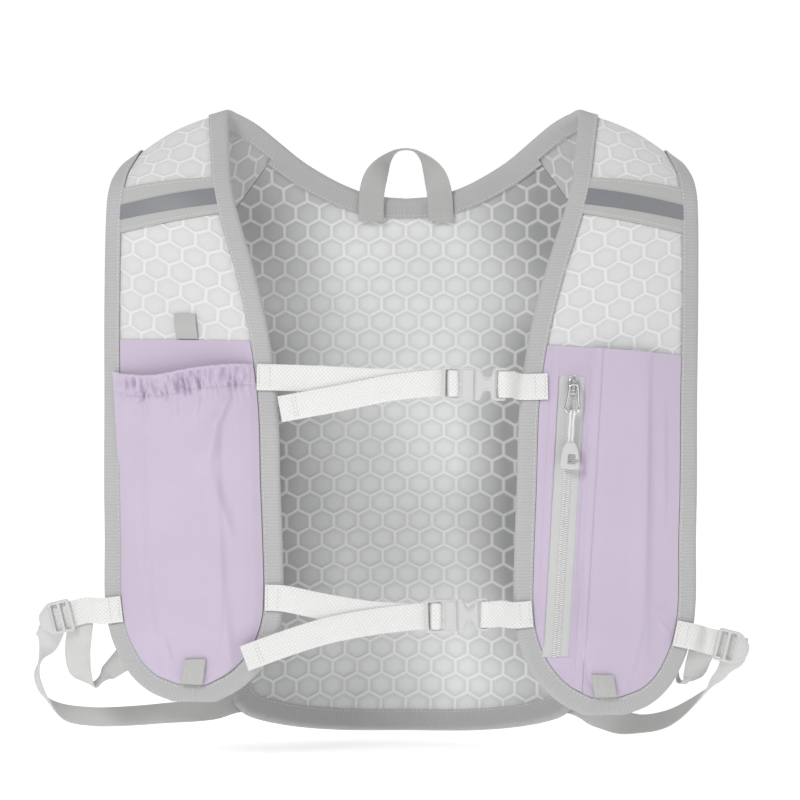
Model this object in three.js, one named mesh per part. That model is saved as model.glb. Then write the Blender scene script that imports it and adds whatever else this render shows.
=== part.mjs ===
// A running hydration vest: two front panels that run up over the shoulders, a curved back panel,
// a taped edge all round, a gathered flask pocket, a zipped pocket, two chest straps with side-release
// buckles, two side straps with ladder locks, reflective shoulder bands and a carry loop.
// Millimetres, +Z up, the wearer faces -Y. The origin lies midway between the two shoulder straps,
// at the top of the wearer's shoulders.
import * as THREE from "three";

// Driving sizes of the vest
const halfWidth = 180; // centre to the outer edge of a front panel
const frontDrop = 345; // shoulder ridge down to the foot of a front panel
const backDrop = 373.5; // shoulder ridge down to the hem of the back panel
const backHalf = 124; // centre to the widest point of the back panel
const chestDepth = 85; // shoulder ridge forward to the chest
const backDepth = 79; // shoulder ridge back to the middle of the back
const frontCrown = 5; // how far a front panel swells between its edges

// Cloth, tape and webbing
const panelThick = 3; // padded mesh
const clothThick = 0.8; // pocket cloth
const tapeThick = 0.7; // edge tape and shoulder band
const tapeWidth = 10; // edge tape, from the edge inwards
const bandWidth = 25;
const stripeWidth = 10;
const webWidth = 16;
const webThick = 1.4;
const seat = 0.3; // gap between pieces that touch
const edgeRoom = 0.8; // room between a panel and the tape folded round it
const seamGap = 1.2; // between a shoulder strap and the back panel, inside the seam

// Pockets
const pocketTop = 122; // below the shoulder ridge
const pocketGap = 1.5; // pocket cloth, from the tape's inner edge
const zipPocketStep = 3.5; // the zipped pocket's top, below the flask pocket's
const clothLift = 1.9; // pocket cloth, from the middle of the panel's thickness
const mouthDrop = 19; // flask pocket's mouth, below the top of its backing
const pouchSwell = 9; // how far the flask pocket stands off its backing
const mouthHem = 12; // gathered hem of the mouth
const zipPocketSlant = 7; // the zipped pocket's top falls this much to the outer side
const zipPocketSwell = 4;
const zipTapeWidth = 14;
const zipTapeThick = 0.6;
const coilWidth = 4.6;
const coilThick = 1.2;
const sliderWidth = 6.4;
const sliderLength = 10.6;
const sliderHeight = 3.2;
const ringWidth = 9.6;
const ringLength = 17;
const pullWire = 1.4;
const cordWidth = 3.6;
const cordLength = 17;
const pullEndWidth = 12;
const pullEndLength = 16.5;
const pullThick = 2.4;
const tabWidth = 13;
const tabLength = 15.5;
const tabThick = 0.9;

// Buckles: a plug with an adjuster and a socket on each chest strap, a ladder lock at each side
const plasticThick = 3;
const barWidth = 2;
const slotWidth = 3.8; // along the strap
const slotHeight = 16.8; // across the strap
const buckleHeight = 20;
const plugShoulder = 8; // solid end of a plug, where it meets its socket
const socketShoulder = 3;
const socketWaist = 9;
const waistHeight = 8.4;
const cornerCut = 1.6;
const lockNose = 7;
const chestStand = 6.5; // buckles, in front of chestDepth
const webEnd = 2; // sewn webbing runs this far past a panel's edge before it bends

const colours = {
  mesh: [0xdfe0df, 0.85],
  tape: [0xb9bab8, 0.8],
  lilac: [0xd3c6de, 0.75],
  webbing: [0xe9e9e7, 0.8],
  greyWebbing: [0xbcbcba, 0.8],
  band: [0xc8c9c5, 0.8],
  plastic: [0xd9dad9, 0.45],
  stripe: [0x8f9296, 0.4],
  metal: [0xc9cbcd, 0.25, 0.9],
};

function material(name) {
  const [color, roughness, metalness = 0] = colours[name];
  return new THREE.MeshStandardMaterial({ color, roughness, metalness });
}

const vest = new THREE.Group();

function add(name, geometry, finish, place) {
  const mesh = new THREE.Mesh(geometry, material(finish));
  mesh.name = name;
  if (place) place(mesh);
  vest.add(mesh);
  return mesh;
}

// Smooth value of one column of a table at a row number that need not be whole
function columnAt(rows, column, row) {
  const last = rows.length - 1;
  const k = Math.min(Math.max(Math.floor(row), 0), last - 1);
  const t = row - k;
  const [a, b, c, d] = [k - 1, k, k + 1, k + 2].map((i) => rows[Math.min(Math.max(i, 0), last)][column]);
  const rise = (c - a) / 2;
  const fall = (d - b) / 2;
  const t2 = t * t;
  const t3 = t2 * t;
  return b * (2 * t3 - 3 * t2 + 1) + rise * (t3 - 2 * t2 + t) + c * (3 * t2 - 2 * t3) + fall * (t3 - t2);
}

// Back panel. The curve of the spine (depth) and the wrap round the ribs (bend), both by height.
// drop is a share of backDrop, depth of backDepth, and bend of the depth lost at backHalf.
const spineRows = [
  { drop: -0.045, depth: 0.38, bend: 0.43 },
  { drop: 0.01, depth: 0.48, bend: 0.43 },
  { drop: 0.065, depth: 0.59, bend: 0.4 },
  { drop: 0.12, depth: 0.685, bend: 0.37 },
  { drop: 0.175, depth: 0.745, bend: 0.37 },
  { drop: 0.268, depth: 0.835, bend: 0.49 },
  { drop: 0.43, depth: 0.95, bend: 0.64 },
  { drop: 0.59, depth: 1, bend: 0.66 },
  { drop: 0.75, depth: 0.985, bend: 0.66 },
  { drop: 0.857, depth: 0.885, bend: 0.66 },
  { drop: 0.924, depth: 0.745, bend: 0.66 },
  { drop: 1.0, depth: 0.505, bend: 0.66 },
];

function spineAt(column, z) {
  const drop = -z / backDrop;
  const last = spineRows.length - 1;
  let k = 0;
  while (k < last - 1 && spineRows[k + 1].drop < drop) k += 1;
  const span = spineRows[k + 1].drop - spineRows[k].drop;
  const row = k + Math.min(Math.max((drop - spineRows[k].drop) / span, 0), 1);
  return columnAt(spineRows, column, row);
}

function backY(x, z) {
  return backDepth * (spineAt("depth", z) - spineAt("bend", z) * (x / backHalf) ** 2);
}

function onBack(x, z) {
  return new THREE.Vector3(x, backY(x, z), z);
}

// The back panel's normal, away from the wearer
function backNormalAt(x, z) {
  const step = 0.5;
  const acrossSlope = onBack(x + step, z).sub(onBack(x - step, z));
  const downSlope = onBack(x, z + step).sub(onBack(x, z - step));
  return downSlope.cross(acrossSlope).normalize();
}

// Outline of the back panel's top (neckline, then the shoulder seam) and foot (hem), from the
// centre outwards. x is a share of backHalf, z of backDrop.
const neckRows = [
  { x: 0, z: -0.1044 },
  { x: 0.161, z: -0.099 },
  { x: 0.323, z: -0.0803 },
  { x: 0.504, z: -0.0455 },
  { x: 0.633, z: -0.0107 },
];
const armpit = { x: 1.0, z: -0.177 };
const hemRows = [
  { x: 0, z: -1.0 },
  { x: 0.14, z: -1.0 },
  { x: 0.28, z: -0.999 },
  { x: 0.41, z: -0.996 },
  { x: 0.53, z: -0.991 },
  { x: 0.64, z: -0.984 },
  { x: 0.73, z: -0.976 },
  { x: 0.8, z: -0.966 },
  { x: 0.85, z: -0.951 },
];
const seamRow = neckRows.length - 1; // where the neckline meets the shoulder seam
const outlineEnd = hemRows.length - 1;
const hipRound = 0.062; // how far the armhole edge swells out above the hem
const waistPull = 0.02; // how far it curves in under the arm

// Row c runs from 0 at the centre to outlineEnd at the armhole; t runs from the top down to the hem
function backPoint(side, c, t) {
  const corner = neckRows[seamRow];
  const seamShare = Math.max((c - seamRow) / (outlineEnd - seamRow), 0);
  const topAt = (axis) =>
    seamShare > 0 ? corner[axis] + (armpit[axis] - corner[axis]) * seamShare : columnAt(neckRows, axis, c);
  const share = c / outlineEnd;
  const hip = hipRound * Math.sin(Math.PI * t ** 3) - waistPull * Math.sin(Math.PI * t) ** 2;
  const x = topAt("x") + (columnAt(hemRows, "x", c) - topAt("x")) * t + hip * share ** 3;
  const z = topAt("z") + (columnAt(hemRows, "z", c) - topAt("z")) * t;
  return onBack(side * backHalf * x, backDrop * z);
}

// A front panel and its shoulder strap, from the round foot up over the shoulder to the seam.
// Inner and outer edge: x as shares of halfWidth, z of frontDrop and y of chestDepth.
const strapRows = [
  { innerX: 0.625, innerZ: -0.992, innerY: -0.933, outerX: 0.77, outerZ: -0.993, outerY: -0.871 },
  { innerX: 0.55, innerZ: -0.971, innerY: -0.961, outerX: 0.845, outerZ: -0.978, outerY: -0.836 },
  { innerX: 0.488, innerZ: -0.942, innerY: -0.982, outerX: 0.906, outerZ: -0.952, outerY: -0.805 },
  { innerX: 0.438, innerZ: -0.904, innerY: -0.996, outerX: 0.951, outerZ: -0.916, outerY: -0.777 },
  { innerX: 0.407, innerZ: -0.858, innerY: -1.001, outerX: 0.984, outerZ: -0.872, outerY: -0.755 },
  { innerX: 0.397, innerZ: -0.806, innerY: -0.996, outerX: 1.0, outerZ: -0.812, outerY: -0.738 },
  { innerX: 0.401, innerZ: -0.71, innerY: -0.99, outerX: 1.0, outerZ: -0.71, outerY: -0.718 },
  { innerX: 0.408, innerZ: -0.609, innerY: -0.985, outerX: 1.003, outerZ: -0.609, outerY: -0.69 },
  { innerX: 0.417, innerZ: -0.464, innerY: -0.955, outerX: 1.003, outerZ: -0.464, outerY: -0.645 },
  { innerX: 0.45, innerZ: -0.342, innerY: -0.88, outerX: 1.006, outerZ: -0.342, outerY: -0.57 },
  { innerX: 0.503, innerZ: -0.232, innerY: -0.74, outerX: 1.008, outerZ: -0.232, outerY: -0.47 },
  { innerX: 0.556, innerZ: -0.145, innerY: -0.59, outerX: 1.008, outerZ: -0.148, outerY: -0.375 },
  { innerX: 0.588, innerZ: -0.085, innerY: -0.45, outerX: 1.003, outerZ: -0.096, outerY: -0.3 },
  { innerX: 0.604, innerZ: -0.015, innerY: -0.235, outerX: 0.985, outerZ: -0.066, outerY: -0.165 },
  { innerX: 0.611, innerZ: 0.043, innerY: 0.0, outerX: 0.945, outerZ: -0.046, outerY: 0.0 },
  { innerX: 0.572, innerZ: 0.04, innerY: 0.1, outerX: 0.9, outerZ: -0.07, outerY: 0.165 },
  { innerX: 0.51, innerZ: 0.021, innerY: 0.175, outerX: 0.81, outerZ: -0.125, outerY: 0.27 },
];
const strapEnd = strapRows.length; // the seam with the back panel is one row past the table
const ridgeRow = 14;
const footRow = 5; // below this row the foot is flat and rounded

const strapTable = [...strapRows, seamAsRow()];

function seamAsRow() {
  const inner = backPoint(1, seamRow, 0);
  const outer = backPoint(1, outlineEnd, 0);
  return {
    innerX: inner.x / halfWidth,
    innerZ: inner.z / frontDrop,
    innerY: inner.y / chestDepth,
    outerX: outer.x / halfWidth,
    outerZ: outer.z / frontDrop,
    outerY: outer.y / chestDepth,
  };
}

function railPoint(side, edge, u) {
  return new THREE.Vector3(
    side * halfWidth * columnAt(strapTable, `${edge}X`, u),
    chestDepth * columnAt(strapTable, `${edge}Y`, u),
    frontDrop * columnAt(strapTable, `${edge}Z`, u),
  );
}

// Away from the wearer, from how the rails run at row u
function awayAt(side, u) {
  const middle = (row) => railPoint(side, "inner", row).add(railPoint(side, "outer", row));
  const step = 0.02;
  const along = middle(Math.min(u + step, strapEnd)).sub(middle(Math.max(u - step, 0)));
  const across = railPoint(side, "outer", u).sub(railPoint(side, "inner", u));
  return across.cross(along).normalize().multiplyScalar(side);
}

// How far the back panel bulges past a straight line along the shoulder seam
function seamBulge(side, v) {
  const straight = railPoint(side, "inner", strapEnd).lerp(railPoint(side, "outer", strapEnd), v);
  return backY(straight.x, straight.z) - straight.y;
}

// Row u of the strap table, v from 0 at the inner edge to 1 at the outer edge
function strapPoint(side, u, v) {
  const swell = frontCrown * Math.min(Math.max((u - footRow) / 4, 0), 1) * Math.min((strapEnd - u) / 3, 1);
  const inner = railPoint(side, "inner", u);
  const across = railPoint(side, "outer", u).sub(inner);
  const point = inner.addScaledVector(across, v).addScaledVector(awayAt(side, u), swell * Math.sin(Math.PI * v));
  point.y += seamBulge(side, v) * Math.max(1 - (strapEnd - u) / 2, 0) ** 2;
  return point;
}

function strapNormal(side, u, v) {
  const step = 0.02;
  const low = Math.max(u - step, 0);
  const high = Math.min(u + step, strapEnd);
  const along = strapPoint(side, high, v).sub(strapPoint(side, low, v));
  const across = strapPoint(side, u, v + step).sub(strapPoint(side, u, v - step));
  return across.cross(along).normalize().multiplyScalar(side);
}

const strapWidthAt = (side, u) => railPoint(side, "inner", u).distanceTo(railPoint(side, "outer", u));

// Share of the strap's width that lies a given distance in from one edge, square to that edge
function shareIn(side, edge, u, distance) {
  const step = 0.02;
  const tangent = railPoint(side, edge, Math.min(u + step, strapEnd)).sub(railPoint(side, edge, Math.max(u - step, 0)));
  const across = railPoint(side, "outer", u).sub(railPoint(side, "inner", u)).normalize();
  const square = tangent.normalize().cross(across).length();
  return distance / (strapWidthAt(side, u) * square);
}

// A point set in from an edge: straight across the flat foot, along the curved strap above it
function insetPoint(side, edge, u, distance) {
  const into = edge === "inner" ? 1 : -1;
  if (u >= footRow) {
    const share = shareIn(side, edge, u, distance);
    return strapPoint(side, u, edge === "inner" ? share : 1 - share);
  }
  const step = 0.05;
  const edgePoint = railPoint(side, edge, u);
  const tangent = railPoint(side, edge, u + step).sub(railPoint(side, edge, Math.max(u - step, 0))).normalize();
  const inward = tangent.cross(strapNormal(side, footRow - 1, 0.5)).multiplyScalar(into * side);
  return edgePoint.addScaledVector(inward.normalize(), distance);
}

// The front of a panel inside its edge tape: w from 0 at the inner side to 1 at the outer side
const pocketInset = tapeWidth + pocketGap;
function pocketPoint(side, u, w) {
  const inner = insetPoint(side, "inner", u, pocketInset);
  const outer = insetPoint(side, "outer", u, pocketInset);
  if (u < footRow) return inner.lerp(outer, w);
  const from = shareIn(side, "inner", u, pocketInset);
  const to = 1 - shareIn(side, "outer", u, pocketInset);
  return strapPoint(side, u, from + (to - from) * w);
}

function pocketNormal(side, u, w) {
  if (u < footRow) return strapNormal(side, footRow - 1, 0.5);
  const from = shareIn(side, "inner", u, pocketInset);
  const to = 1 - shareIn(side, "outer", u, pocketInset);
  return strapNormal(side, u, from + (to - from) * w);
}

// The row of the strap table at a height below the ridge, on the front
function rowAtDrop(side, drop, edge = "inner") {
  let low = 0;
  let high = ridgeRow;
  for (let i = 0; i < 40; i += 1) {
    const middle = (low + high) / 2;
    if (-railPoint(side, edge, middle).z > drop) low = middle;
    else high = middle;
  }
  return low;
}

// The row that lies a distance further along the middle of the strap
function rowFurther(side, from, distance) {
  const step = distance > 0 ? 0.02 : -0.02;
  let row = from;
  let gone = 0;
  while (gone < Math.abs(distance) && row > 0 && row < strapEnd) {
    gone += strapPoint(side, row, 0.5).distanceTo(strapPoint(side, row + step, 0.5));
    row += step;
  }
  return row;
}

function stops(from, to, count) {
  return Array.from({ length: count + 1 }, (_, i) => from + ((to - from) * i) / count);
}

function solid(points, faces) {
  const geometry = new THREE.BufferGeometry();
  const coordinates = points.flatMap((point) => [point.x, point.y, point.z]);
  const volume = faces.reduce((sum, [p, q, r]) => sum + points[p].dot(points[q].clone().cross(points[r])), 0);
  const outward = volume < 0 ? faces.map(([p, q, r]) => [p, r, q]) : faces;
  geometry.setAttribute("position", new THREE.Float32BufferAttribute(coordinates, 3));
  geometry.setIndex(outward.flat());
  return geometry;
}

// Closed solid over a grid of places, each a point and its normal, between two heights
function slab(grid, low, high) {
  const rows = grid.length;
  const columns = grid[0].length;
  const points = [];
  for (const level of [low, high]) {
    for (let i = 0; i < rows; i += 1) {
      for (let j = 0; j < columns; j += 1) {
        const { point, normal } = grid[i][j];
        const height = typeof level === "function" ? level(i, j) : level;
        points.push(point.clone().addScaledVector(normal, height));
      }
    }
  }
  const index = (level, i, j) => (level * rows + i) * columns + j;
  const faces = [];
  const quad = (p, q, r, s) => faces.push([p, q, r], [p, r, s]);
  for (let i = 0; i < rows - 1; i += 1) {
    for (let j = 0; j < columns - 1; j += 1) {
      quad(index(1, i, j), index(1, i + 1, j), index(1, i + 1, j + 1), index(1, i, j + 1));
      const [p, q, r, s] = [index(0, i, j), index(0, i, j + 1), index(0, i + 1, j + 1), index(0, i + 1, j)];
      faces.push([p, q, r], [p, r, s]);
    }
    quad(index(0, i, 0), index(0, i + 1, 0), index(1, i + 1, 0), index(1, i, 0));
    const end = columns - 1;
    quad(index(0, i, end), index(1, i, end), index(1, i + 1, end), index(0, i + 1, end));
  }
  for (let j = 0; j < columns - 1; j += 1) {
    const end = rows - 1;
    quad(index(0, 0, j), index(1, 0, j), index(1, 0, j + 1), index(0, 0, j + 1));
    quad(index(0, end, j), index(0, end, j + 1), index(1, end, j + 1), index(1, end, j));
  }
  return solid(points, faces);
}

// Solid swept through rings with as many corners each, capped at the ends unless it closes on itself
function loft(rings, closed = false) {
  const corners = rings[0].length;
  const faces = [];
  const steps = closed ? rings.length : rings.length - 1;
  for (let i = 0; i < steps; i += 1) {
    const here = i * corners;
    const next = ((i + 1) % rings.length) * corners;
    for (let j = 0; j < corners; j += 1) {
      const k = (j + 1) % corners;
      faces.push([here + j, next + j, next + k], [here + j, next + k, here + k]);
    }
  }
  if (!closed) {
    const far = (rings.length - 1) * corners;
    for (let j = 1; j < corners - 1; j += 1) {
      faces.push([0, j, j + 1], [far, far + j + 1, far + j]);
    }
  }
  return solid(rings.flat(), faces);
}

// Webbing through rows of {at, across}: a point of its middle line and the way its width runs
function webbing(rows, perRow = 2, width = webWidth, thick = webThick) {
  const curve = new THREE.CatmullRomCurve3(rows.map(({ at }) => at));
  const ways = rows.map(({ across }) => across.clone().normalize()).map(({ x, y, z }) => ({ x, y, z }));
  const widthWay = (row) => new THREE.Vector3(...["x", "y", "z"].map((axis) => columnAt(ways, axis, row)));
  const last = rows.length - 1;
  const rings = stops(0, last, last * perRow).map((row) => {
    const at = curve.getPoint(row / last);
    const tangent = curve.getTangent(row / last);
    const across = widthWay(row);
    across.addScaledVector(tangent, -across.dot(tangent)).normalize();
    const normal = tangent.clone().cross(across);
    const corner = (a, n) => at.clone().addScaledVector(across, (a * width) / 2).addScaledVector(normal, (n * thick) / 2);
    return [corner(-1, -1), corner(1, -1), corner(1, 1), corner(-1, 1)];
  });
  return loft(rings);
}

const vector = (x, y, z) => new THREE.Vector3(x, y, z);
const up = vector(0, 0, 1);

// The wearer's right is on the viewer's left, at -X
const sides = [
  { name: "left", side: -1 },
  { name: "right", side: 1 },
];
const halfPanel = panelThick / 2;
const tapeLow = halfPanel + edgeRoom;
const tapeHigh = tapeLow + tapeThick;
const lastRowLength = strapPoint(1, strapEnd - 1, 0).distanceTo(strapPoint(1, strapEnd, 0));
const strapStops = [
  ...stops(0, 11, 11),
  ...stops(11.5, 13, 3),
  ...stops(13.25, 15.5, 9),
  ...stops(16, 16.5, 1),
  strapEnd - seamGap / lastRowLength,
];

for (const { name, side } of sides) {
  const grid = strapStops.map((u) => {
    const inner = railPoint(side, "inner", u);
    const outer = railPoint(side, "outer", u);
    const normal = (v) => (u < footRow ? strapNormal(side, footRow - 1, 0.5) : strapNormal(side, u, v));
    if (u < footRow) {
      const from = insetPoint(side, "inner", u, tapeWidth);
      const to = insetPoint(side, "outer", u, tapeWidth);
      const inside = stops(0, 1, 4).map((w) => from.clone().lerp(to, w));
      return [inner, ...inside, outer].map((point) => ({ point, normal: normal(0.5) }));
    }
    const from = shareIn(side, "inner", u, tapeWidth);
    const to = 1 - shareIn(side, "outer", u, tapeWidth);
    return [0, ...stops(from, to, 4), 1].map((v) => ({ point: strapPoint(side, u, v), normal: normal(v) }));
  });
  add(`strap_panel_${name}`, slab(grid, -halfPanel, halfPanel), "mesh");
}

// The back panel
const backStops = [...stops(0, seamRow, seamRow * 2), ...stops(seamRow + 1, outlineEnd, (outlineEnd - seamRow - 1) * 2)];
const downStops = [0, 0.03, 0.06, ...stops(0.1, 0.9, 8), 0.945, 0.975, 1];
{
  const both = [...backStops.slice(1).reverse().map((c) => -c), ...backStops];
  const grid = both.map((c) =>
    downStops.map((t) => {
      const point = backPoint(Math.sign(c) || 1, Math.abs(c), t);
      return { point, normal: backNormalAt(point.x, point.z) };
    }),
  );
  add("back_panel", slab(grid, -halfPanel, halfPanel), "mesh");
}

// The edge tape is one U-shaped channel folded round the whole outline. Each place on it holds the
// edge and the tape's inner line, with a normal at both.
function tapeRing({ edge, edgeNormal, inside, insideNormal }) {
  const outward = edge.clone().sub(inside).normalize();
  const atEdge = (out, n) => edge.clone().addScaledVector(outward, out).addScaledVector(edgeNormal, n);
  const atInside = (n) => inside.clone().addScaledVector(insideNormal, n);
  return [
    atEdge(edgeRoom + tapeThick, -tapeHigh),
    atInside(-tapeHigh),
    atInside(-tapeLow),
    atEdge(edgeRoom, -tapeLow),
    atEdge(edgeRoom, tapeLow),
    atInside(tapeLow),
    atInside(tapeHigh),
    atEdge(edgeRoom + tapeThick, tapeHigh),
  ];
}

function strapTapePlace(side, edge, u) {
  const flat = strapNormal(side, footRow - 1, 0.5);
  const share = shareIn(side, edge, u, tapeWidth);
  return {
    edge: railPoint(side, edge, u),
    edgeNormal: u < footRow ? flat : strapNormal(side, u, edge === "inner" ? 0 : 1),
    inside: insetPoint(side, edge, u, tapeWidth),
    insideNormal: u < footRow ? flat : strapNormal(side, u, edge === "inner" ? share : 1 - share),
  };
}

function footTapePlace(side) {
  const flat = strapNormal(side, footRow - 1, 0.5);
  const edge = railPoint(side, "inner", 0).lerp(railPoint(side, "outer", 0), 0.5);
  const upward = strapPoint(side, 1, 0.5).sub(edge).setLength(tapeWidth);
  return { edge, edgeNormal: flat, inside: edge.clone().add(upward), insideNormal: flat };
}

// On the back, the tape's inner line is square to the outline as seen from the front
function backTapePlace(side, c, t, nextC, nextT, width) {
  const edge = backPoint(side, c, t);
  const next = backPoint(side, nextC, nextT);
  const along = next.sub(edge);
  const square = vector(along.z, 0, -along.x).setLength(width);
  const middle = backPoint(side, c * 0.5, 0.5).sub(edge);
  if (square.dot(middle) < 0) square.negate();
  const inside = onBack(edge.x + square.x, edge.z + square.z);
  const facing = (point) => backNormalAt(point.x, point.z);
  return { edge, edgeNormal: facing(edge), inside, insideNormal: facing(inside) };
}

const neckWidening = 0.35; // the tape shows wider on the back of the shoulders
const hemTurn = 0.3;
function neckPlaces(side, rows) {
  return rows.map((c) => {
    const width = tapeWidth * (1 + (neckWidening * c) / seamRow);
    return backTapePlace(side, c, 0, c + (c > seamRow - 0.5 ? -hemTurn : hemTurn), 0, width);
  });
}
const hemPlaces = (side, rows) =>
  rows.map((c) => backTapePlace(side, c, 1, c + (c > outlineEnd - 0.5 ? -hemTurn : hemTurn), 1, tapeWidth));
const armholePlaces = (side, rows) =>
  rows.map((t) => backTapePlace(side, outlineEnd, t, outlineEnd, t > 0.5 ? t - 0.02 : t + 0.02, tapeWidth));
const strapPlaces = (side, edge, rows) => rows.map((u) => strapTapePlace(side, edge, u));

const neckStops = stops(0.5, seamRow, seamRow * 2 - 1);
const armholeStops = downStops.slice(0, -1);
const hemStops = backStops.slice(1);
const backward = (list) => [...list].reverse();
const tapePlaces = [
  footTapePlace(-1),
  ...strapPlaces(-1, "inner", strapStops),
  ...neckPlaces(-1, backward(neckStops)),
  ...neckPlaces(1, [0, ...neckStops]),
  ...strapPlaces(1, "inner", backward(strapStops)),
  footTapePlace(1),
  ...strapPlaces(1, "outer", strapStops),
  ...armholePlaces(1, armholeStops),
  ...hemPlaces(1, backward(hemStops)),
  ...hemPlaces(-1, [0, ...hemStops]),
  ...armholePlaces(-1, backward(armholeStops)),
  ...strapPlaces(-1, "outer", backward(strapStops)),
];
add("edge_tape", loft(tapePlaces.map(tapeRing), true), "tape");

// Pocket cloth lies on a front panel between the tapes. Rows run up from the foot, and the top
// row may slant.
function pocketPlaces(side, rows, columnsAt) {
  return rows.map((row) =>
    columnsAt(row).map((w) => {
      const u = row(w);
      return { u, w, point: pocketPoint(side, u, w), normal: pocketNormal(side, u, w) };
    }),
  );
}

// Rows from the foot up to two heights below the ridge: one at the inner and one at the outer side
function pocketRows(side, innerDrop, outerDrop, count) {
  const top = (w) => rowAtDrop(side, innerDrop + (outerDrop - innerDrop) * w);
  return [
    ...stops(0, footRow, 5).map((u) => () => u),
    ...stops(0, 1, count).slice(1).map((share) => (w) => footRow + (top(w) - footRow) * share),
  ];
}

// Share of a table's rise at w, straight between its rows
function shareAt(rows, w) {
  let k = 0;
  while (k < rows.length - 2 && rows[k + 1].w < w) k += 1;
  const [from, to] = [rows[k], rows[k + 1]];
  const t = Math.min(Math.max((w - from.w) / (to.w - from.w), 0), 1);
  return from.rise + (to.rise - from.rise) * t;
}

const footFade = (u) => Math.min(0.25 + u / footRow, 1);

// Flask pocket on the wearer's right: a flat backing, and a pleated pouch that is open at the top
const pouchColumns = [
  { w: 0, rise: 0 },
  { w: 0.05, rise: 0.35 },
  { w: 0.12, rise: 0.62 },
  { w: 0.2, rise: 0.78 },
  { w: 0.245, rise: 0.8 },
  { w: 0.27, rise: 0.98 },
  { w: 0.38, rise: 1 },
  { w: 0.5, rise: 1 },
  { w: 0.62, rise: 1 },
  { w: 0.72, rise: 0.98 },
  { w: 0.765, rise: 0.95 },
  { w: 0.79, rise: 0.76 },
  { w: 0.86, rise: 0.6 },
  { w: 0.94, rise: 0.34 },
  { w: 1, rise: 0 },
];
const clothTop = clothLift + clothThick;
const pouchBase = clothTop + seat;
const pouchLow = (u, w) => pouchBase + pouchSwell * shareAt(pouchColumns, w) * footFade(u) ** 1.5;
const pouchHigh = (u, w) => pouchLow(u, w) + clothThick;
{
  const columns = stops(0, 1, 6);
  const backing = pocketPlaces(-1, pocketRows(-1, pocketTop, pocketTop, 6), () => columns);
  add("flask_pocket_backing", slab(backing, clothLift, clothTop), "lilac");

  // The mouth sags in the middle and its gathered hem is doubled
  const mouth = pocketTop + mouthDrop;
  const hemRow = rowAtDrop(-1, mouth + mouthHem);
  const mouthRow = (w) => rowAtDrop(-1, mouth - 0.12 * mouthDrop + 0.33 * mouthDrop * Math.sin(Math.PI * w ** 0.7));
  const rows = [
    ...stops(0, footRow, 5).map((u) => () => u),
    ...stops(footRow, hemRow, 5).slice(1).map((u) => () => u),
    (w) => hemRow + 0.06 * (mouthRow(w) - hemRow),
    mouthRow,
  ];
  const pouch = pocketPlaces(-1, rows, () => pouchColumns.map(({ w }) => w));
  const doubled = rows.length - 2;
  add(
    "flask_pocket",
    slab(
      pouch,
      (i, j) => pouchLow(pouch[i][j].u, pouch[i][j].w),
      (i, j) => pouchHigh(pouch[i][j].u, pouch[i][j].w) + (i >= doubled ? clothThick : 0),
    ),
    "lilac",
  );
}

// Zipped pocket on the wearer's left. The zip runs straight, leaning a little, on its inner side.
const zipLine = { topX: 0.583, topZ: -0.421, footX: 0.53, footZ: -0.912 }; // shares of halfWidth and frontDrop
const zipFoldColumns = [
  { w: 0, rise: 0 },
  { w: 0.32, rise: 0.05 },
  { w: 0.35, rise: 0.75 },
  { w: 0.45, rise: 1 },
  { w: 0.6, rise: 1 },
  { w: 0.75, rise: 0.85 },
  { w: 0.79, rise: 0.6 },
  { w: 0.9, rise: 0.3 },
  { w: 1, rise: 0 },
];

// Share across the pocket of a line beside the zip, at row u
function zipShare(u, offset) {
  const at = (w) => pocketPoint(1, u, w);
  let w = 0.2;
  for (let i = 0; i < 8; i += 1) {
    const share = (at(w).z / frontDrop - zipLine.topZ) / (zipLine.footZ - zipLine.topZ);
    const x = halfWidth * (zipLine.topX + (zipLine.footX - zipLine.topX) * share) + offset;
    w = (x - at(0).x) / (at(1).x - at(0).x);
  }
  return w;
}

const zipPocketTop = pocketTop + zipPocketStep;
const zipFootRow = rowAtDrop(1, -frontDrop * zipLine.footZ);
const zipTopRow = rowAtDrop(1, -frontDrop * zipLine.topZ);
const zipRows = [zipFootRow, ...stops(3, 8, 5), zipTopRow];
const zipOffsets = [-zipTapeWidth / 2, -coilWidth / 2, coilWidth / 2, zipTapeWidth / 2];
const zipPanelLow = (u, w) => clothLift + zipPocketSwell * shareAt(zipFoldColumns, w) * footFade(u);
{
  const rows = [...[0, 1, 2].map((u) => () => u), ...zipRows.map((u) => () => u)];
  const top = (w) => rowAtDrop(1, zipPocketTop + zipPocketSlant * w);
  rows.push((w) => zipTopRow + (top(w) - zipTopRow) * 0.5, top);
  const columnsAt = (row) => {
    const u = row(0);
    const near = u < 2.5 ? [0.05, 0.1, 0.15, 0.24] : zipOffsets.map((offset) => zipShare(Math.min(u, zipTopRow), offset));
    return [0, ...near, ...zipFoldColumns.slice(1).map(({ w }) => w)];
  };
  const places = pocketPlaces(1, rows, columnsAt);
  const low = (i, j) => zipPanelLow(places[i][j].u, places[i][j].w);
  add("zip_pocket", slab(places, low, (i, j) => low(i, j) + clothThick), "lilac");
}

function zipPlaces(offsets) {
  return zipRows.map((u) =>
    offsets.map((offset) => {
      const w = zipShare(u, offset);
      return { u, w, point: pocketPoint(1, u, w), normal: pocketNormal(1, u, w) };
    }),
  );
}
{
  const tape = zipPlaces(zipOffsets);
  const lift = (list, above) => (i, j) => zipPanelLow(list[i][j].u, list[i][j].w) + clothThick + above;
  add("zip_tape", slab(tape, lift(tape, seat), lift(tape, seat + zipTapeThick)), "webbing");
  const coil = zipPlaces([-coilWidth / 2, coilWidth / 2]);
  const onTape = seat * 1.3 + zipTapeThick;
  add("zip_coil", slab(coil, lift(coil, onTape), lift(coil, onTape + coilThick)), "webbing");
}

function outline(points) {
  return new THREE.Shape(points.map(([x, y]) => new THREE.Vector2(x, y)));
}

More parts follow.
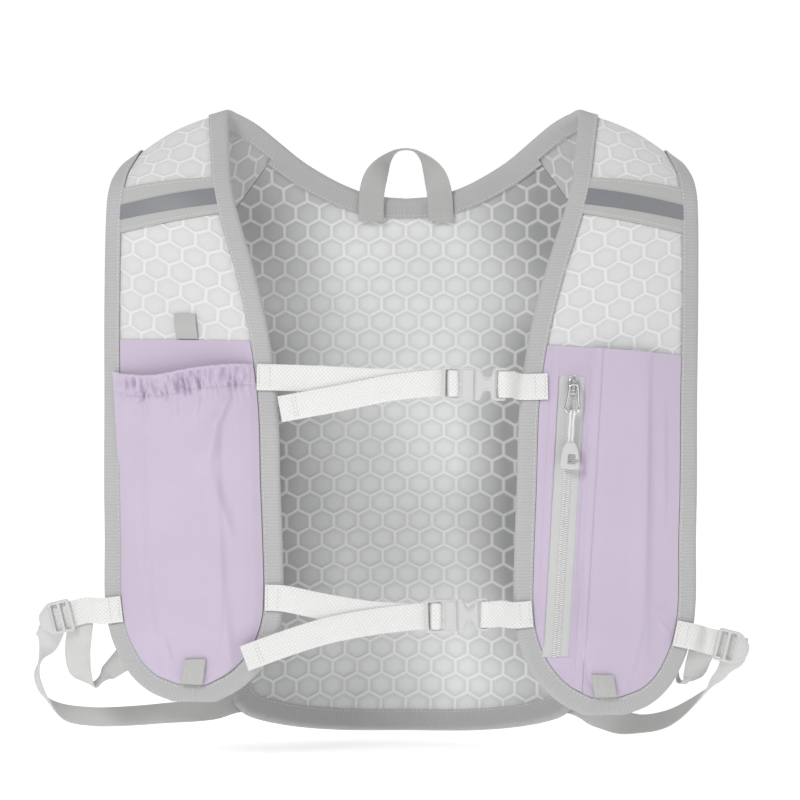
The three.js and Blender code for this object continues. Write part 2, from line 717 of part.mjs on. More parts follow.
function rounded(width, height, radius) {
  const shape = new THREE.Shape();
  const [x, y] = [width / 2, height / 2];
  shape.moveTo(-x + radius, -y);
  shape.lineTo(x - radius, -y);
  shape.quadraticCurveTo(x, -y, x, -y + radius);
  shape.lineTo(x, y - radius);
  shape.quadraticCurveTo(x, y, x - radius, y);
  shape.lineTo(-x + radius, y);
  shape.quadraticCurveTo(-x, y, -x, y - radius);
  shape.lineTo(-x, -y + radius);
  shape.quadraticCurveTo(-x, -y, -x + radius, -y);
  return shape;
}

// A flat piece, centred on its outline's origin, from z = 0 up
function plate(shape, thick) {
  return new THREE.ExtrudeGeometry(shape, { depth: thick, bevelEnabled: false, curveSegments: 3 });
}

// Slider and pull, laid along the zip from its top end
{
  const top = zipShare(zipTopRow, 0);
  const lower = zipTopRow - 1;
  const at = pocketPoint(1, zipTopRow, top);
  const upward = at.clone().sub(pocketPoint(1, lower, zipShare(lower, 0))).normalize();
  const facing = pocketNormal(1, zipTopRow, top);
  const across = upward.clone().cross(facing).normalize();
  const basis = new THREE.Matrix4().makeBasis(across, upward, across.clone().cross(upward));
  const onCoil = zipPanelLow(zipTopRow, top) + clothThick + seat * 3 + zipTapeThick + coilThick;
  const lay = (down, height) => (mesh) => {
    mesh.setRotationFromMatrix(basis);
    mesh.position.copy(at).addScaledVector(upward, -down).addScaledVector(facing, height);
  };
  const slider = outline([
    [-sliderWidth * 0.5, sliderLength * 0.3],
    [-sliderWidth * 0.32, -sliderLength * 0.5],
    [sliderWidth * 0.32, -sliderLength * 0.5],
    [sliderWidth * 0.5, sliderLength * 0.3],
    [sliderWidth * 0.22, sliderLength * 0.5],
    [-sliderWidth * 0.22, sliderLength * 0.5],
  ]);
  add("zip_slider", plate(slider, sliderHeight), "metal", lay(sliderLength / 2, onCoil));

  const ring = rounded(ringWidth, ringLength, ringWidth * 0.35);
  ring.holes.push(rounded(ringWidth - 2 * pullWire, ringLength - 2 * pullWire, ringWidth * 0.25));
  const pullLift = onCoil + sliderHeight + seat;
  const ringDown = sliderLength + ringLength * 0.38;
  add("zip_pull_ring", plate(ring, pullWire), "metal", lay(ringDown, pullLift));

  const half = pullEndWidth / 2;
  const pull = outline([
    [-cordWidth / 2, 0],
    [-cordWidth / 2, -cordLength],
    [-half * 0.75, -cordLength - pullEndLength * 0.12],
    [-half, -cordLength - pullEndLength * 0.9],
    [-half * 0.85, -cordLength - pullEndLength],
    [-half * 0.3, -cordLength - pullEndLength],
    [0, -cordLength - pullEndLength * 0.72],
    [half * 0.3, -cordLength - pullEndLength],
    [half * 0.85, -cordLength - pullEndLength],
    [half, -cordLength - pullEndLength * 0.9],
    [half * 0.75, -cordLength - pullEndLength * 0.12],
    [cordWidth / 2, -cordLength],
    [cordWidth / 2, 0],
  ]);
  const pullDown = ringDown + ringLength / 2 + seat;
  add("zip_pull", plate(pull, pullThick), "webbing", lay(pullDown, pullLift));
}

// Webbing tabs: one stands above the flask pocket, one hangs at the foot of each pocket
function addTab(name, side, u, w, lowAt) {
  const from = rowFurther(side, u, -tabLength / 2);
  const to = rowFurther(side, u, tabLength / 2);
  const places = stops(from, to, 4).map((row) => {
    const width = pocketPoint(side, row, 0).distanceTo(pocketPoint(side, row, 1));
    return stops(w - tabWidth / width / 2, w + tabWidth / width / 2, 3).map((share) => ({
      u: row,
      w: share,
      point: pocketPoint(side, row, share),
      normal: pocketNormal(side, row, share),
    }));
  });
  const low = (i, j) => lowAt(places[i][j].u, places[i][j].w) + tabThick * 0.6;
  add(name, slab(places, low, (i, j) => low(i, j) + tabThick), "greyWebbing");
}
addTab("top_tab", -1, rowAtDrop(-1, pocketTop - tabLength / 2 - seat), 0.505, () => halfPanel);
addTab("left_foot_tab", -1, rowAtDrop(-1, 0.94 * frontDrop), 0.5, pouchHigh);
addTab("right_foot_tab", 1, rowAtDrop(1, 0.967 * frontDrop), 0.5, (u, w) => zipPanelLow(u, w) + clothThick);

// Reflective bands across the shoulder straps
const bandRow = 11.6;
const bandLift = halfPanel + 2 * seat;
for (const { name, side } of sides) {
  const across = (width) =>
    [-width / 2, 0, width / 2].map((distance) => {
      const u = rowFurther(side, bandRow, distance);
      return stops(0, 1, 4).map((w) => ({ point: pocketPoint(side, u, w), normal: pocketNormal(side, u, w) }));
    });
  add(`shoulder_band_${name}`, slab(across(bandWidth), bandLift, bandLift + tapeThick), "band");
  const onBand = bandLift + tapeThick + seat;
  add(`reflective_stripe_${name}`, slab(across(stripeWidth), onBand, onBand + tapeThick), "stripe");
}

// Carry loop, sewn over the neckline tape and twisted edge-on at its top. Shares of backHalf,
// backDepth and backDrop.
const loopRows = [
  { x: 0.178, z: -0.138, turn: 0 },
  { x: 0.176, z: -0.108, turn: 0 },
  { x: 0.168, z: -0.082, turn: 0.1 },
  { x: 0.142, z: -0.056, turn: 0.35 },
  { x: 0.092, z: -0.031, turn: 0.7 },
  { x: 0.038, z: -0.018, turn: 0.94 },
];
{
  const lift = 1.3 * (tapeHigh + 2 * seat + webThick / 2);
  const leg = (side, { x, z, turn }) => {
    const at = onBack(side * x * backHalf, z * backDrop);
    at.y = backY(at.x, Math.min(z, loopRows[2].z) * backDrop) - lift;
    const angle = (turn * Math.PI) / 2;
    return { at, across: vector(-side * Math.cos(angle), Math.sin(angle), 0) };
  };
  const left = loopRows.map((row) => leg(-1, row));
  const right = loopRows.map((row) => leg(1, row)).reverse();
  add("carry_loop", webbing([...left, ...right]), "greyWebbing");
}

const sewnLift = tapeHigh + 2.4 * seat + webThick / 2; // webbing sewn over the edge tape

// A place over the tape, set in from a panel's edge, with the webbing's width along the edge
function overTape(side, edge, u, distance) {
  const share = shareIn(side, edge, u, Math.max(distance, 0));
  const normal = strapNormal(side, u, edge === "inner" ? share : 1 - share);
  const at = insetPoint(side, edge, u, distance).addScaledVector(normal, sewnLift);
  return { at, across: railPoint(side, edge, u + 0.1).sub(railPoint(side, edge, u - 0.1)) };
}

// Chest straps. Each main web starts over the edge tape, runs behind the plug's adjuster, winds
// round its middle bar and comes back as the loose tail. Shares of halfWidth and frontDrop, of
// webThick for tailFront and of tapeWidth for reach.
const plugX = 0.149;
const chestStraps = [
  {
    name: "upper",
    tilt: -0.02,
    plug: { x: plugX, z: -0.4275 },
    left: 0.4205,
    main: [{ x: -0.26, z: -0.4212 }, { x: -0.06, z: -0.4262 }],
    tail: [{ x: -0.02, z: -0.4362 }, { x: -0.2, z: -0.455 }, { x: -0.347, z: -0.4695 }, { x: -0.4, z: -0.4745 }],
    tailFront: [0, 0.35, 0, -0.3],
    right: 0.436,
    reach: 1.4,
  },
  {
    name: "lower",
    tilt: 0.04,
    plug: { x: 0.092, z: -0.8395 },
    left: 0.809,
    main: [{ x: -0.26, z: -0.823 }, { x: -0.07, z: -0.838 }],
    tail: [{ x: -0.07, z: -0.849 }, { x: -0.226, z: -0.864 }, { x: -0.38, z: -0.888 }, { x: -0.52, z: -0.9145 }],
    tailFront: [0, 0.35, 2.1, 3.9],
    right: 0.8375,
    reach: 0.9,
  },
];
const chestFront = -chestDepth - chestStand; // middle of the buckles' thickness
const adjuster = 2 * slotWidth + 2 * barWidth; // slots and bars of a plug

function slotted(shape, from, trim = 0) {
  const y = slotHeight / 2 - trim;
  const slot = [[from, -y], [from + slotWidth, -y], [from + slotWidth, y], [from, y]];
  shape.holes.push(new THREE.Path(slot.map(([x, z]) => new THREE.Vector2(x, z))));
}

// Lay a flat piece facing the viewer, with its thickness about a depth y
const face = (x, y, z, turn) => (mesh) => {
  mesh.rotation.set(Math.PI / 2, 0, turn);
  mesh.position.set(x, y + plasticThick / 2, z);
};

for (const strap of chestStraps) {
  const half = buckleHeight / 2;
  const x0 = strap.plug.x * halfWidth;
  const z0 = strap.plug.z * frontDrop;
  const along = (distance, depth) =>
    vector(x0 + distance * Math.cos(strap.tilt), chestFront + depth, z0 + distance * Math.sin(strap.tilt));
  const plugEnd = adjuster + plugShoulder;
  const plug = outline([
    [0, -half + barWidth / 2], [barWidth / 2, -half], [plugEnd - cornerCut, -half], [plugEnd, -half + cornerCut],
    [plugEnd, half - cornerCut], [plugEnd - cornerCut, half], [barWidth / 2, half], [0, half - barWidth / 2],
  ]);
  slotted(plug, barWidth);
  slotted(plug, barWidth * 2 + slotWidth, 0.15);
  add(`${strap.name}_chest_plug`, plate(plug, plasticThick), "plastic", face(x0, chestFront, z0, strap.tilt));

  const start = plugEnd + seat;
  const shoulder = start + socketShoulder;
  const waist = shoulder + socketWaist / 2;
  const waistEnd = shoulder + socketWaist * 0.9;
  const flat = socketWaist * 0.11; // half the straight part of the waist
  const end = shoulder + socketWaist + slotWidth + barWidth * 1.5;
  const socket = outline([
    [start, -half + cornerCut], [start + cornerCut, -half], [shoulder, -half], [waist - flat, -waistHeight / 2],
    [waist + flat, -waistHeight / 2], [waistEnd, -half], [end, -half],
    [end, half], [waistEnd, half], [waist + flat, waistHeight / 2],
    [waist - flat, waistHeight / 2], [shoulder, half], [start + cornerCut, half], [start, half - cornerCut],
  ]);
  slotted(socket, end - barWidth - slotWidth);
  add(`${strap.name}_chest_socket`, plate(socket, plasticThick), "plastic", face(x0, chestFront, z0, strap.tilt));

  const behind = plasticThick / 2 + seat + webThick / 2;
  const leftRow = rowAtDrop(-1, strap.left * frontDrop);
  const at = (point, depth) => vector(point.x * halfWidth, chestFront + depth, point.z * frontDrop);
  const loose = behind + webThick + 1.7 * seat;
  const middle = barWidth * 1.5 + slotWidth;
  const nearSlot = barWidth + slotWidth / 2;
  const farSlot = adjuster - slotWidth / 2;
  const slant = slotWidth * 0.29;
  const path = [
    at(strap.main[0], loose),
    at(strap.main[1], loose),
    along(barWidth / 2, loose),
    along(middle - barWidth, loose),
    along(farSlot - slant, behind),
    along(farSlot, 0),
    along(farSlot - slant, -behind),
    along(middle, -behind - 0.1),
    along(nearSlot + slant, -behind * 0.9),
    along(nearSlot, 0),
    along(nearSlot - slant, behind * 0.9),
    along(barWidth / 2, behind + 0.1),
    along(-barWidth, behind + 0.1),
    ...strap.tail.map((point, i) => at(point, behind - strap.tailFront[i] * webThick)),
  ].map((point) => ({ at: point, across: up }));
  const sewn = [tapeWidth * 0.9, -webEnd].map((distance) => overTape(-1, "inner", leftRow, distance));
  add(`${strap.name}_chest_strap`, webbing([...sewn, ...path]), "webbing");

  const rightRow = rowAtDrop(1, strap.right * frontDrop);
  const bar = end - barWidth / 2;
  const slot = end - barWidth - slotWidth / 2 - seat;
  const run = railPoint(1, "inner", rightRow).x - x0 - end - webEnd; // from the socket to the sewn part
  const sewnRight = [-webEnd, strap.reach * tapeWidth].map((distance) => overTape(1, "inner", rightRow, distance));
  const fall = sewnRight[0].at.y - chestFront + behind;
  // A place on the way from the socket down to the sewn part, on the layer that runs there
  const toPanel = (share, back = 0) => along(end + run * share, fall * share ** 1.4 - behind + back);
  const apart = (webThick + 2 * seat) * Math.hypot(1, (1.1 * fall) / run);
  const loop = [
    toPanel(0.65, apart),
    toPanel(0.4, apart),
    along(end + seat, behind + 0.1),
    along(bar, behind + 0.1),
    along(slot + seat, behind * 0.65),
    along(slot, 0),
    along(slot + seat, -behind * 0.65),
    along(bar, -behind - 0.1),
    toPanel(0.18),
    toPanel(0.45),
  ].map((point) => ({ at: point, across: up }));
  add(`${strap.name}_chest_anchor`, webbing([...loop, ...sewnRight]), "webbing");
}

// Side straps: a white web and ladder lock at each panel's outer edge, and a grey strap that drops
// from the lock and runs back to the hem corner, with a loose tail behind the panel. Shares of
// halfWidth, chestDepth and frontDrop; turn is the way of the strap's width.
const sideStraps = [
  {
    name: "left",
    side: -1,
    anchor: 0.838,
    lock: { x: 1.158, y: -0.74, z: -0.85, turn: 0.24 },
    strap: [
      { x: 1.178, y: -0.658, z: -0.845, across: [1, 0, -0.3] },
      { x: 1.2, y: -0.645, z: -0.881, across: [0.85, 0.2, -0.4] },
      { x: 1.23, y: -0.56, z: -0.911, across: [0.5, 0.8, -0.3] },
      { x: 1.246, y: -0.52, z: -0.941, across: [0.1, 1, 0] },
      { x: 1.251, y: -0.46, z: -0.973, across: [0.4, 0.9, 0.2] },
      { x: 1.23, y: -0.38, z: -1.006, across: [0.5, 0.75, 0.4] },
      { x: 1.179, y: -0.28, z: -1.033, across: [0.3, 0.75, 0.6] },
      { x: 1.093, y: -0.165, z: -1.045, across: [0.1, 0.78, 0.62] },
      { x: 0.999, y: -0.071, z: -1.048, across: [0, 0.78, 0.62] },
      { x: 0.841, y: 0.08, z: -1.046, across: [0, 0.75, 0.66] },
      { x: 0.66, y: 0.25, z: -1.041, across: [0, 0.65, 0.76] },
    ],
    tail: [
      { x: 1.092, y: -0.68, z: -0.845, across: [1, 0, 0.1] },
      { x: 1.1, y: -0.672, z: -0.885, across: [1, 0, 0.1] },
      { x: 1.11, y: -0.575, z: -0.92, across: [1, 0.1, 0] },
      { x: 1.1, y: -0.55, z: -0.955, across: [0.8, 0.5, -0.2] },
      { x: 1.06, y: -0.5, z: -0.978, across: [0.1, 1, 0.1] },
      { x: 1.012, y: -0.47, z: -0.958, across: [-0.4, 0.5, 0.7] },
      { x: 0.95, y: -0.45, z: -0.93, across: [-0.5, 0.2, 0.8] },
    ],
  },
  {
    name: "right",
    side: 1,
    anchor: 0.88,
    lock: { x: 1.114, y: -0.74, z: -0.898, turn: -0.24 },
    strap: [
      { x: 1.145, y: -0.635, z: -0.885, across: [0.9, 0, 0.45] },
      { x: 1.135, y: -0.61, z: -0.925, across: [0.9, 0.1, 0.4] },
      { x: 1.095, y: -0.56, z: -0.955, across: [0.8, 0.3, 0.5] },
      { x: 1.061, y: -0.518, z: -0.978, across: [0.7, 0.4, 0.6] },
      { x: 0.969, y: -0.365, z: -1.024, across: [0.4, 0.6, 0.7] },
      { x: 0.903, y: -0.259, z: -1.045, across: [0.2, 0.75, 0.66] },
      { x: 0.802, y: -0.141, z: -1.056, across: [0.1, 0.78, 0.6] },
      { x: 0.71, y: 0.14, z: -1.053, across: [0, 0.7, 0.7] },
      { x: 0.655, y: 0.25, z: -1.046, across: [0, 0.65, 0.76] },
    ],
    tail: [
      { x: 1.045, y: -0.683, z: -0.885, across: [1, 0, 0.1] },
      { x: 1.02, y: -0.655, z: -0.925, across: [0.9, 0.2, 0.1] },
      { x: 1.0, y: -0.565, z: -0.958, across: [0.7, 0.6, 0] },
      { x: 0.965, y: -0.53, z: -0.968, across: [0, 1, 0] },
      { x: 0.94, y: -0.49, z: -0.95, across: [-0.4, 0.6, 0.5] },
      { x: 0.9, y: -0.46, z: -0.925, across: [-0.5, 0.3, 0.7] },
    ],
  },
];
const lockWidth = 3 * barWidth + 2 * slotWidth;
const hemEnd = { x: 0.83, z: -0.943 }; // where a side strap is sewn at the hem corner, outside the tape
for (const { name, side, anchor, lock, strap, tail } of sideStraps) {
  const place = ({ x, y, z }) => vector(side * x * halfWidth, y * chestDepth, z * frontDrop);
  const centre = place(lock);
  const half = buckleHeight / 2;
  const edge = lockWidth / 2;
  const shape = outline([
    [side * -edge, -half], [side * edge, -half], [side * (edge + lockNose), -half * 0.35],
    [side * (edge + lockNose), half * 0.35], [side * edge, half], [side * -edge, half],
  ]);
  slotted(shape, -edge + barWidth);
  slotted(shape, barWidth / 2, 0.15);
  add(`side_lock_${name}`, plate(shape, plasticThick), "plastic", face(centre.x, centre.y, centre.z, lock.turn));

  const behind = plasticThick / 2 + seat + webThick / 2;
  const along = (distance) =>
    vector(centre.x + side * distance * Math.cos(lock.turn), centre.y + behind, centre.z + side * distance * Math.sin(lock.turn));
  const row = rowAtDrop(side, anchor * frontDrop, "outer");
  const tilted = vector(-Math.sin(lock.turn), 0, Math.cos(lock.turn));
  const sewn = [tapeWidth, -1.5 * webEnd].map((distance) => overTape(side, "outer", row, distance));
  const held = [-edge - webWidth * 0.56, -edge, edge - barWidth / 2].map((distance) => ({ at: along(distance), across: tilted }));
  add(`side_web_${name}`, webbing([...sewn, ...held]), "webbing");

  const turned = (list) =>
    list.map((item) => ({ at: place(item), across: vector(side * item.across[0], item.across[1], item.across[2]) }));
  const atHem = [hemEnd.x, hemEnd.x - 0.06].map((x, i) => {
    const [px, pz] = [side * x * backHalf, hemEnd.z * backDrop];
    const at = onBack(px, pz).addScaledVector(backNormalAt(px, pz), sewnLift + edgeRoom * (1 - i));
    return { at, across: onBack(px, pz + 1).sub(onBack(px, pz)) };
  });
  add(`side_strap_${name}`, webbing([...turned(strap), ...atHem]), "greyWebbing");
  add(`side_tail_${name}`, webbing(turned(tail)), "greyWebbing");
}

export default vest;
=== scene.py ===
import math

import bmesh
import bpy
import numpy as np
from mathutils import Matrix, Vector


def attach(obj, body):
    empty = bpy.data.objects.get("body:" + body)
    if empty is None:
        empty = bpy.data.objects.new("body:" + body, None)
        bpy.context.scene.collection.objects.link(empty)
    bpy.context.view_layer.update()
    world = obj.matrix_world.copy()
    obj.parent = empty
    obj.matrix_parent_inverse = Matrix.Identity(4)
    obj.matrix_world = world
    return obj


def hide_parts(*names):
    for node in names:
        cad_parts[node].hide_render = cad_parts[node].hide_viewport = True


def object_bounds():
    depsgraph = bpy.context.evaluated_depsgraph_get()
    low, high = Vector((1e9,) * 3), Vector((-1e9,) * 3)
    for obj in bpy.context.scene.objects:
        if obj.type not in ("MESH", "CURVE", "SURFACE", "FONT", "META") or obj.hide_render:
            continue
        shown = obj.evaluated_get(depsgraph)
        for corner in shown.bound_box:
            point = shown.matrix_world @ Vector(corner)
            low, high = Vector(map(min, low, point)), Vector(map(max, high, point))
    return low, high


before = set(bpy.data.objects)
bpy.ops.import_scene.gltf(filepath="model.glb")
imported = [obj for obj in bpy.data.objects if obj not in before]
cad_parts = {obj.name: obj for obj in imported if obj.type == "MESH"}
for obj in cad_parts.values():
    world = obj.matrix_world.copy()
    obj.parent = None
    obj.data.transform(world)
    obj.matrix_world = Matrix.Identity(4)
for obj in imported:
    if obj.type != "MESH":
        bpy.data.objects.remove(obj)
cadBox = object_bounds()
mm = 0.001
print("frame loaded:", len(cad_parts), "nodes")

# ---- the camera, floor and light of a product photograph

studio = {
    "distance": 3.0, "target": (0.0006, -0.075, -0.1587), "azimuth": 2.0, "elevation": 3.0,
    "lens": 221.3, "sensor": 36.0, "floorDrop": 0.006,
    "paper": (0.95, 0.95, 0.95), "glow": 0.43, "world": 0.42,
}


def makeStudio():
    scene = bpy.context.scene
    data = bpy.data.cameras.new("photoCamera")
    data.lens, data.sensor_width = studio["lens"], studio["sensor"]
    data.clip_end = 20
    camera = bpy.data.objects.new("photoCamera", data)
    scene.collection.objects.link(camera)
    turn, rise = math.radians(studio["azimuth"]), math.radians(studio["elevation"])
    away = Vector((math.sin(turn) * math.cos(rise), -math.cos(turn) * math.cos(rise), math.sin(rise)))
    camera.location = Vector(studio["target"]) + away * studio["distance"]
    camera.rotation_euler = (-away).to_track_quat("-Z", "Y").to_euler()
    scene.camera = camera

    world = bpy.data.worlds.new("softRoom")
    scene.world = world
    world.use_nodes = True
    world.node_tree.nodes["Background"].inputs[0].default_value = (1, 1, 1, 1)
    world.node_tree.nodes["Background"].inputs[1].default_value = studio["world"]
    scene.view_settings.view_transform = "Standard"

    for name, place, size, power in (
        ("frontLight", (-0.95, -1.85, 1.0), 0.7, 20.5),
        ("sideLight", (1.7, -1.0, 0.9), 1.2, 5.5),
        ("topLight", (-0.3, 0.5, 1.7), 1.2, 5.0),
    ):
        lamp = bpy.data.lights.new(name, "AREA")
        lamp.size, lamp.energy = size, power
        light = bpy.data.objects.new(name, lamp)
        scene.collection.objects.link(light)
        light.location = place
        light.rotation_euler = (Vector((0, 0, -0.18)) - Vector(place)).to_track_quat("-Z", "Y").to_euler()

    paper = bpy.data.materials.new("paperFloor")
    paper.use_nodes = True
    shader = paper.node_tree.nodes["Principled BSDF"]
    shader.inputs["Base Color"].default_value = (*studio["paper"], 1)
    shader.inputs["Roughness"].default_value = 0.9
    shader.inputs["Emission Color"].default_value = (1, 1, 1, 1)
    shader.inputs["Emission Strength"].default_value = studio["glow"]
    level = cadBox[0][2] - studio["floorDrop"]
    mesh = bpy.data.meshes.new("floorSweep")
    half, back, top, steps = 5.5, 4.4, 4.0, 16
    profile = [(-4.4, level)] + [
        (back - 1.0 + math.sin(a) * 1.0, level + 1.0 - math.cos(a) * 1.0)
        for a in np.linspace(0, math.pi / 2, steps)
    ] + [(back, top)]
    verts = [(x, y, z) for y, z in profile for x in (-half, half)]
    mesh.from_pydata(verts, [], [(2 * i, 2 * i + 1, 2 * i + 3, 2 * i + 2) for i in range(len(profile) - 1)])
    mesh.materials.append(paper)
    mesh.shade_smooth()
    floor = bpy.data.objects.new("floorSweep", mesh)
    scene.collection.objects.link(floor)


makeStudio()
print("studio made")

# ---- the vest's own surfaces, from the same sizes and rows as the source of its solids, in millimetres

vest = {
    "sagRight": 7.0, "sagFrom": 245.0,  # the right strap hangs a little lower at its foot
    "halfWidth": 180, "frontDrop": 345, "backDrop": 373.5, "backHalf": 124, "chestDepth": 85, "backDepth": 79,
    "frontCrown": 5, "halfPanel": 1.5, "tapeWidth": 10, "tapeThick": 0.7, "edgeRoom": 0.8, "seat": 0.3,
    "hipRound": 0.062, "waistPull": 0.02, "seamRow": 4, "outlineEnd": 8, "footRow": 5, "strapEnd": 17,
    "pocketInset": 10.35, "clothLift": 1.9, "clothThick": 0.8, "webWidth": 16, "webThick": 1.4,
    "pocketTop": 122, "mouthDrop": 19, "mouthHem": 12, "pouchSwell": 9,
}
# drop, depth and bend of the spine's curve
spineRows = np.array([
    (-0.045, 0.38, 0.43), (0.01, 0.48, 0.43), (0.065, 0.59, 0.4), (0.12, 0.685, 0.37), (0.175, 0.745, 0.37),
    (0.268, 0.835, 0.49), (0.43, 0.95, 0.64), (0.59, 1, 0.66), (0.75, 0.985, 0.66), (0.857, 0.885, 0.66),
    (0.924, 0.745, 0.66), (1.0, 0.505, 0.66),
])
neckRows = np.array([(0, -0.1044), (0.161, -0.099), (0.323, -0.0803), (0.504, -0.0455), (0.633, -0.0107)])
armpit = np.array((1.0, -0.177))
hemRows = np.array([
    (0, -1.0), (0.14, -1.0), (0.28, -0.999), (0.41, -0.996), (0.53, -0.991), (0.64, -0.984), (0.73, -0.976),
    (0.8, -0.966), (0.85, -0.951),
])
# inner x, y, z and outer x, y, z of a front panel and its strap, from the foot up and over
strapRows = np.array([
    (0.625, -0.933, -0.992, 0.77, -0.871, -0.993), (0.55, -0.961, -0.971, 0.845, -0.836, -0.978),
    (0.488, -0.982, -0.942, 0.906, -0.805, -0.952), (0.438, -0.996, -0.904, 0.951, -0.777, -0.916),
    (0.407, -1.001, -0.858, 0.984, -0.755, -0.872), (0.397, -0.996, -0.806, 1.0, -0.738, -0.812),
    (0.401, -0.99, -0.71, 1.0, -0.718, -0.71), (0.408, -0.985, -0.609, 1.003, -0.69, -0.609),
    (0.417, -0.955, -0.464, 1.003, -0.645, -0.464), (0.45, -0.88, -0.342, 1.006, -0.57, -0.342),
    (0.503, -0.74, -0.232, 1.008, -0.47, -0.232), (0.556, -0.59, -0.145, 1.008, -0.375, -0.148),
    (0.588, -0.45, -0.085, 1.003, -0.3, -0.096), (0.604, -0.235, -0.015, 0.985, -0.165, -0.066),
    (0.611, 0.0, 0.043, 0.945, 0.0, -0.046), (0.572, 0.1, 0.04, 0.9, 0.165, -0.07),
    (0.51, 0.175, 0.021, 0.81, 0.27, -0.125),
])


def points(*columns):
    return np.stack(np.broadcast_arrays(*columns), axis=-1).astype(float)


def unit(vectors):
    return vectors / np.maximum(np.linalg.norm(vectors, axis=-1, keepdims=True), 1e-9)


def spline(rows, place):
    place = np.asarray(place, float)
    last = len(rows) - 1
    k = np.clip(np.floor(place).astype(int), 0, last - 1)
    t = (place - k)[..., None]
    a, b, c, d = (rows[np.clip(k + i, 0, last)] for i in (-1, 0, 1, 2))
    rise, fall = (c - a) / 2, (d - b) / 2
    return (b * (2 * t**3 - 3 * t**2 + 1) + rise * (t**3 - 2 * t**2 + t)
            + c * (3 * t**2 - 2 * t**3) + fall * (t**3 - t**2))


def onBack(x, z):
    x, z = np.broadcast_arrays(np.asarray(x, float), np.asarray(z, float))
    drop = -z / vest["backDrop"]
    k = np.clip(np.searchsorted(spineRows[1:, 0], drop, side="left"), 0, len(spineRows) - 2)
    span = spineRows[k + 1, 0] - spineRows[k, 0]
    curve = spline(spineRows[:, 1:], k + np.clip((drop - spineRows[k, 0]) / span, 0, 1))
    y = vest["backDepth"] * (curve[..., 0] - curve[..., 1] * (x / vest["backHalf"]) ** 2)
    return points(x, y, z)


def backNormal(x, z, step=0.5):
    across = onBack(x + step, z) - onBack(x - step, z)
    down = onBack(x, np.asarray(z) + step) - onBack(x, np.asarray(z) - step)
    return unit(np.cross(down, across))


def backPoint(side, c, t):
    c, t = np.broadcast_arrays(np.asarray(c, float), np.asarray(t, float))
    seamShare = np.clip((c - vest["seamRow"]) / (vest["outlineEnd"] - vest["seamRow"]), 0, None)[..., None]
    top = np.where(seamShare > 0, neckRows[-1] + (armpit - neckRows[-1]) * seamShare, spline(neckRows, c))
    hem = spline(hemRows, c)
    share = c / vest["outlineEnd"]
    hip = vest["hipRound"] * np.sin(np.pi * t**3) - vest["waistPull"] * np.sin(np.pi * t) ** 2
    x = top[..., 0] + (hem[..., 0] - top[..., 0]) * t + hip * share**3
    z = top[..., 1] + (hem[..., 1] - top[..., 1]) * t
    return onBack(side * vest["backHalf"] * x, vest["backDrop"] * z)


def seamEnds():
    scale = np.array((vest["halfWidth"], vest["chestDepth"], vest["frontDrop"]))
    inner = backPoint(1, vest["seamRow"], 0) / scale
    outer = backPoint(1, vest["outlineEnd"], 0) / scale
    return np.concatenate((inner, outer))[None, :]


strapTable = np.concatenate((strapRows, seamEnds()))


def rail(side, edge, u):
    at = spline(strapTable[:, :3] if edge == "inner" else strapTable[:, 3:], u)
    at = at * np.array((side * vest["halfWidth"], vest["chestDepth"], vest["frontDrop"]))
    if side > 0:
        low = np.clip((-at[..., 2] - vest["sagFrom"]) / 100, 0, 1)
        at[..., 2] -= vest["sagRight"] * low * low * (3 - 2 * low)
    return at


def awayAt(side, u, step=0.02):
    high, low = np.minimum(u + step, vest["strapEnd"]), np.maximum(u - step, 0)
    along = rail(side, "inner", high) + rail(side, "outer", high) - rail(side, "inner", low) - rail(side, "outer", low)
    across = rail(side, "outer", u) - rail(side, "inner", u)
    return unit(np.cross(across, along)) * side


def seamBulge(side, v):
    inner, outer = rail(side, "inner", vest["strapEnd"]), rail(side, "outer", vest["strapEnd"])
    straight = inner + (outer - inner) * np.asarray(v)[..., None]
    return onBack(straight[..., 0], straight[..., 2])[..., 1] - straight[..., 1]


def strapPoint(side, u, v):
    u, v = np.broadcast_arrays(np.asarray(u, float), np.asarray(v, float))
    end = vest["strapEnd"]
    swell = vest["frontCrown"] * np.clip((u - vest["footRow"]) / 4, 0, 1) * np.minimum((end - u) / 3, 1)
    inner = rail(side, "inner", u)
    across = rail(side, "outer", u) - inner
    at = inner + across * v[..., None] + awayAt(side, u) * (swell * np.sin(np.pi * v))[..., None]
    at[..., 1] += seamBulge(side, v) * np.maximum(1 - (end - u) / 2, 0) ** 2
    return at


def strapNormal(side, u, v, step=0.02):
    high, low = np.minimum(u + step, vest["strapEnd"]), np.maximum(u - step, 0)
    along = strapPoint(side, high, v) - strapPoint(side, low, v)
    across = strapPoint(side, u, v + step) - strapPoint(side, u, v - step)
    return unit(np.cross(across, along)) * side


def shareIn(side, edge, u, distance, step=0.02):
    tangent = unit(rail(side, edge, np.minimum(u + step, vest["strapEnd"])) - rail(side, edge, np.maximum(u - step, 0)))
    across = rail(side, "outer", u) - rail(side, "inner", u)
    width = np.linalg.norm(across, axis=-1)
    square = np.linalg.norm(np.cross(tangent, unit(across)), axis=-1)
    return distance / (width * square)


def flatNormal(side):
    return strapNormal(side, np.array(vest["footRow"] - 1.0), np.array(0.5))


def insetPoint(side, edge, u, distance):
    u = np.asarray(u, float)
    into = 1 if edge == "inner" else -1
    share = shareIn(side, edge, u, distance)
    curved = strapPoint(side, u, share if edge == "inner" else 1 - share)
    at = rail(side, edge, u)
    tangent = unit(rail(side, edge, u + 0.05) - rail(side, edge, np.maximum(u - 0.05, 0)))
    flat = at + unit(np.cross(tangent, flatNormal(side)) * into * side) * distance
    return np.where((u >= vest["footRow"])[..., None], curved, flat)


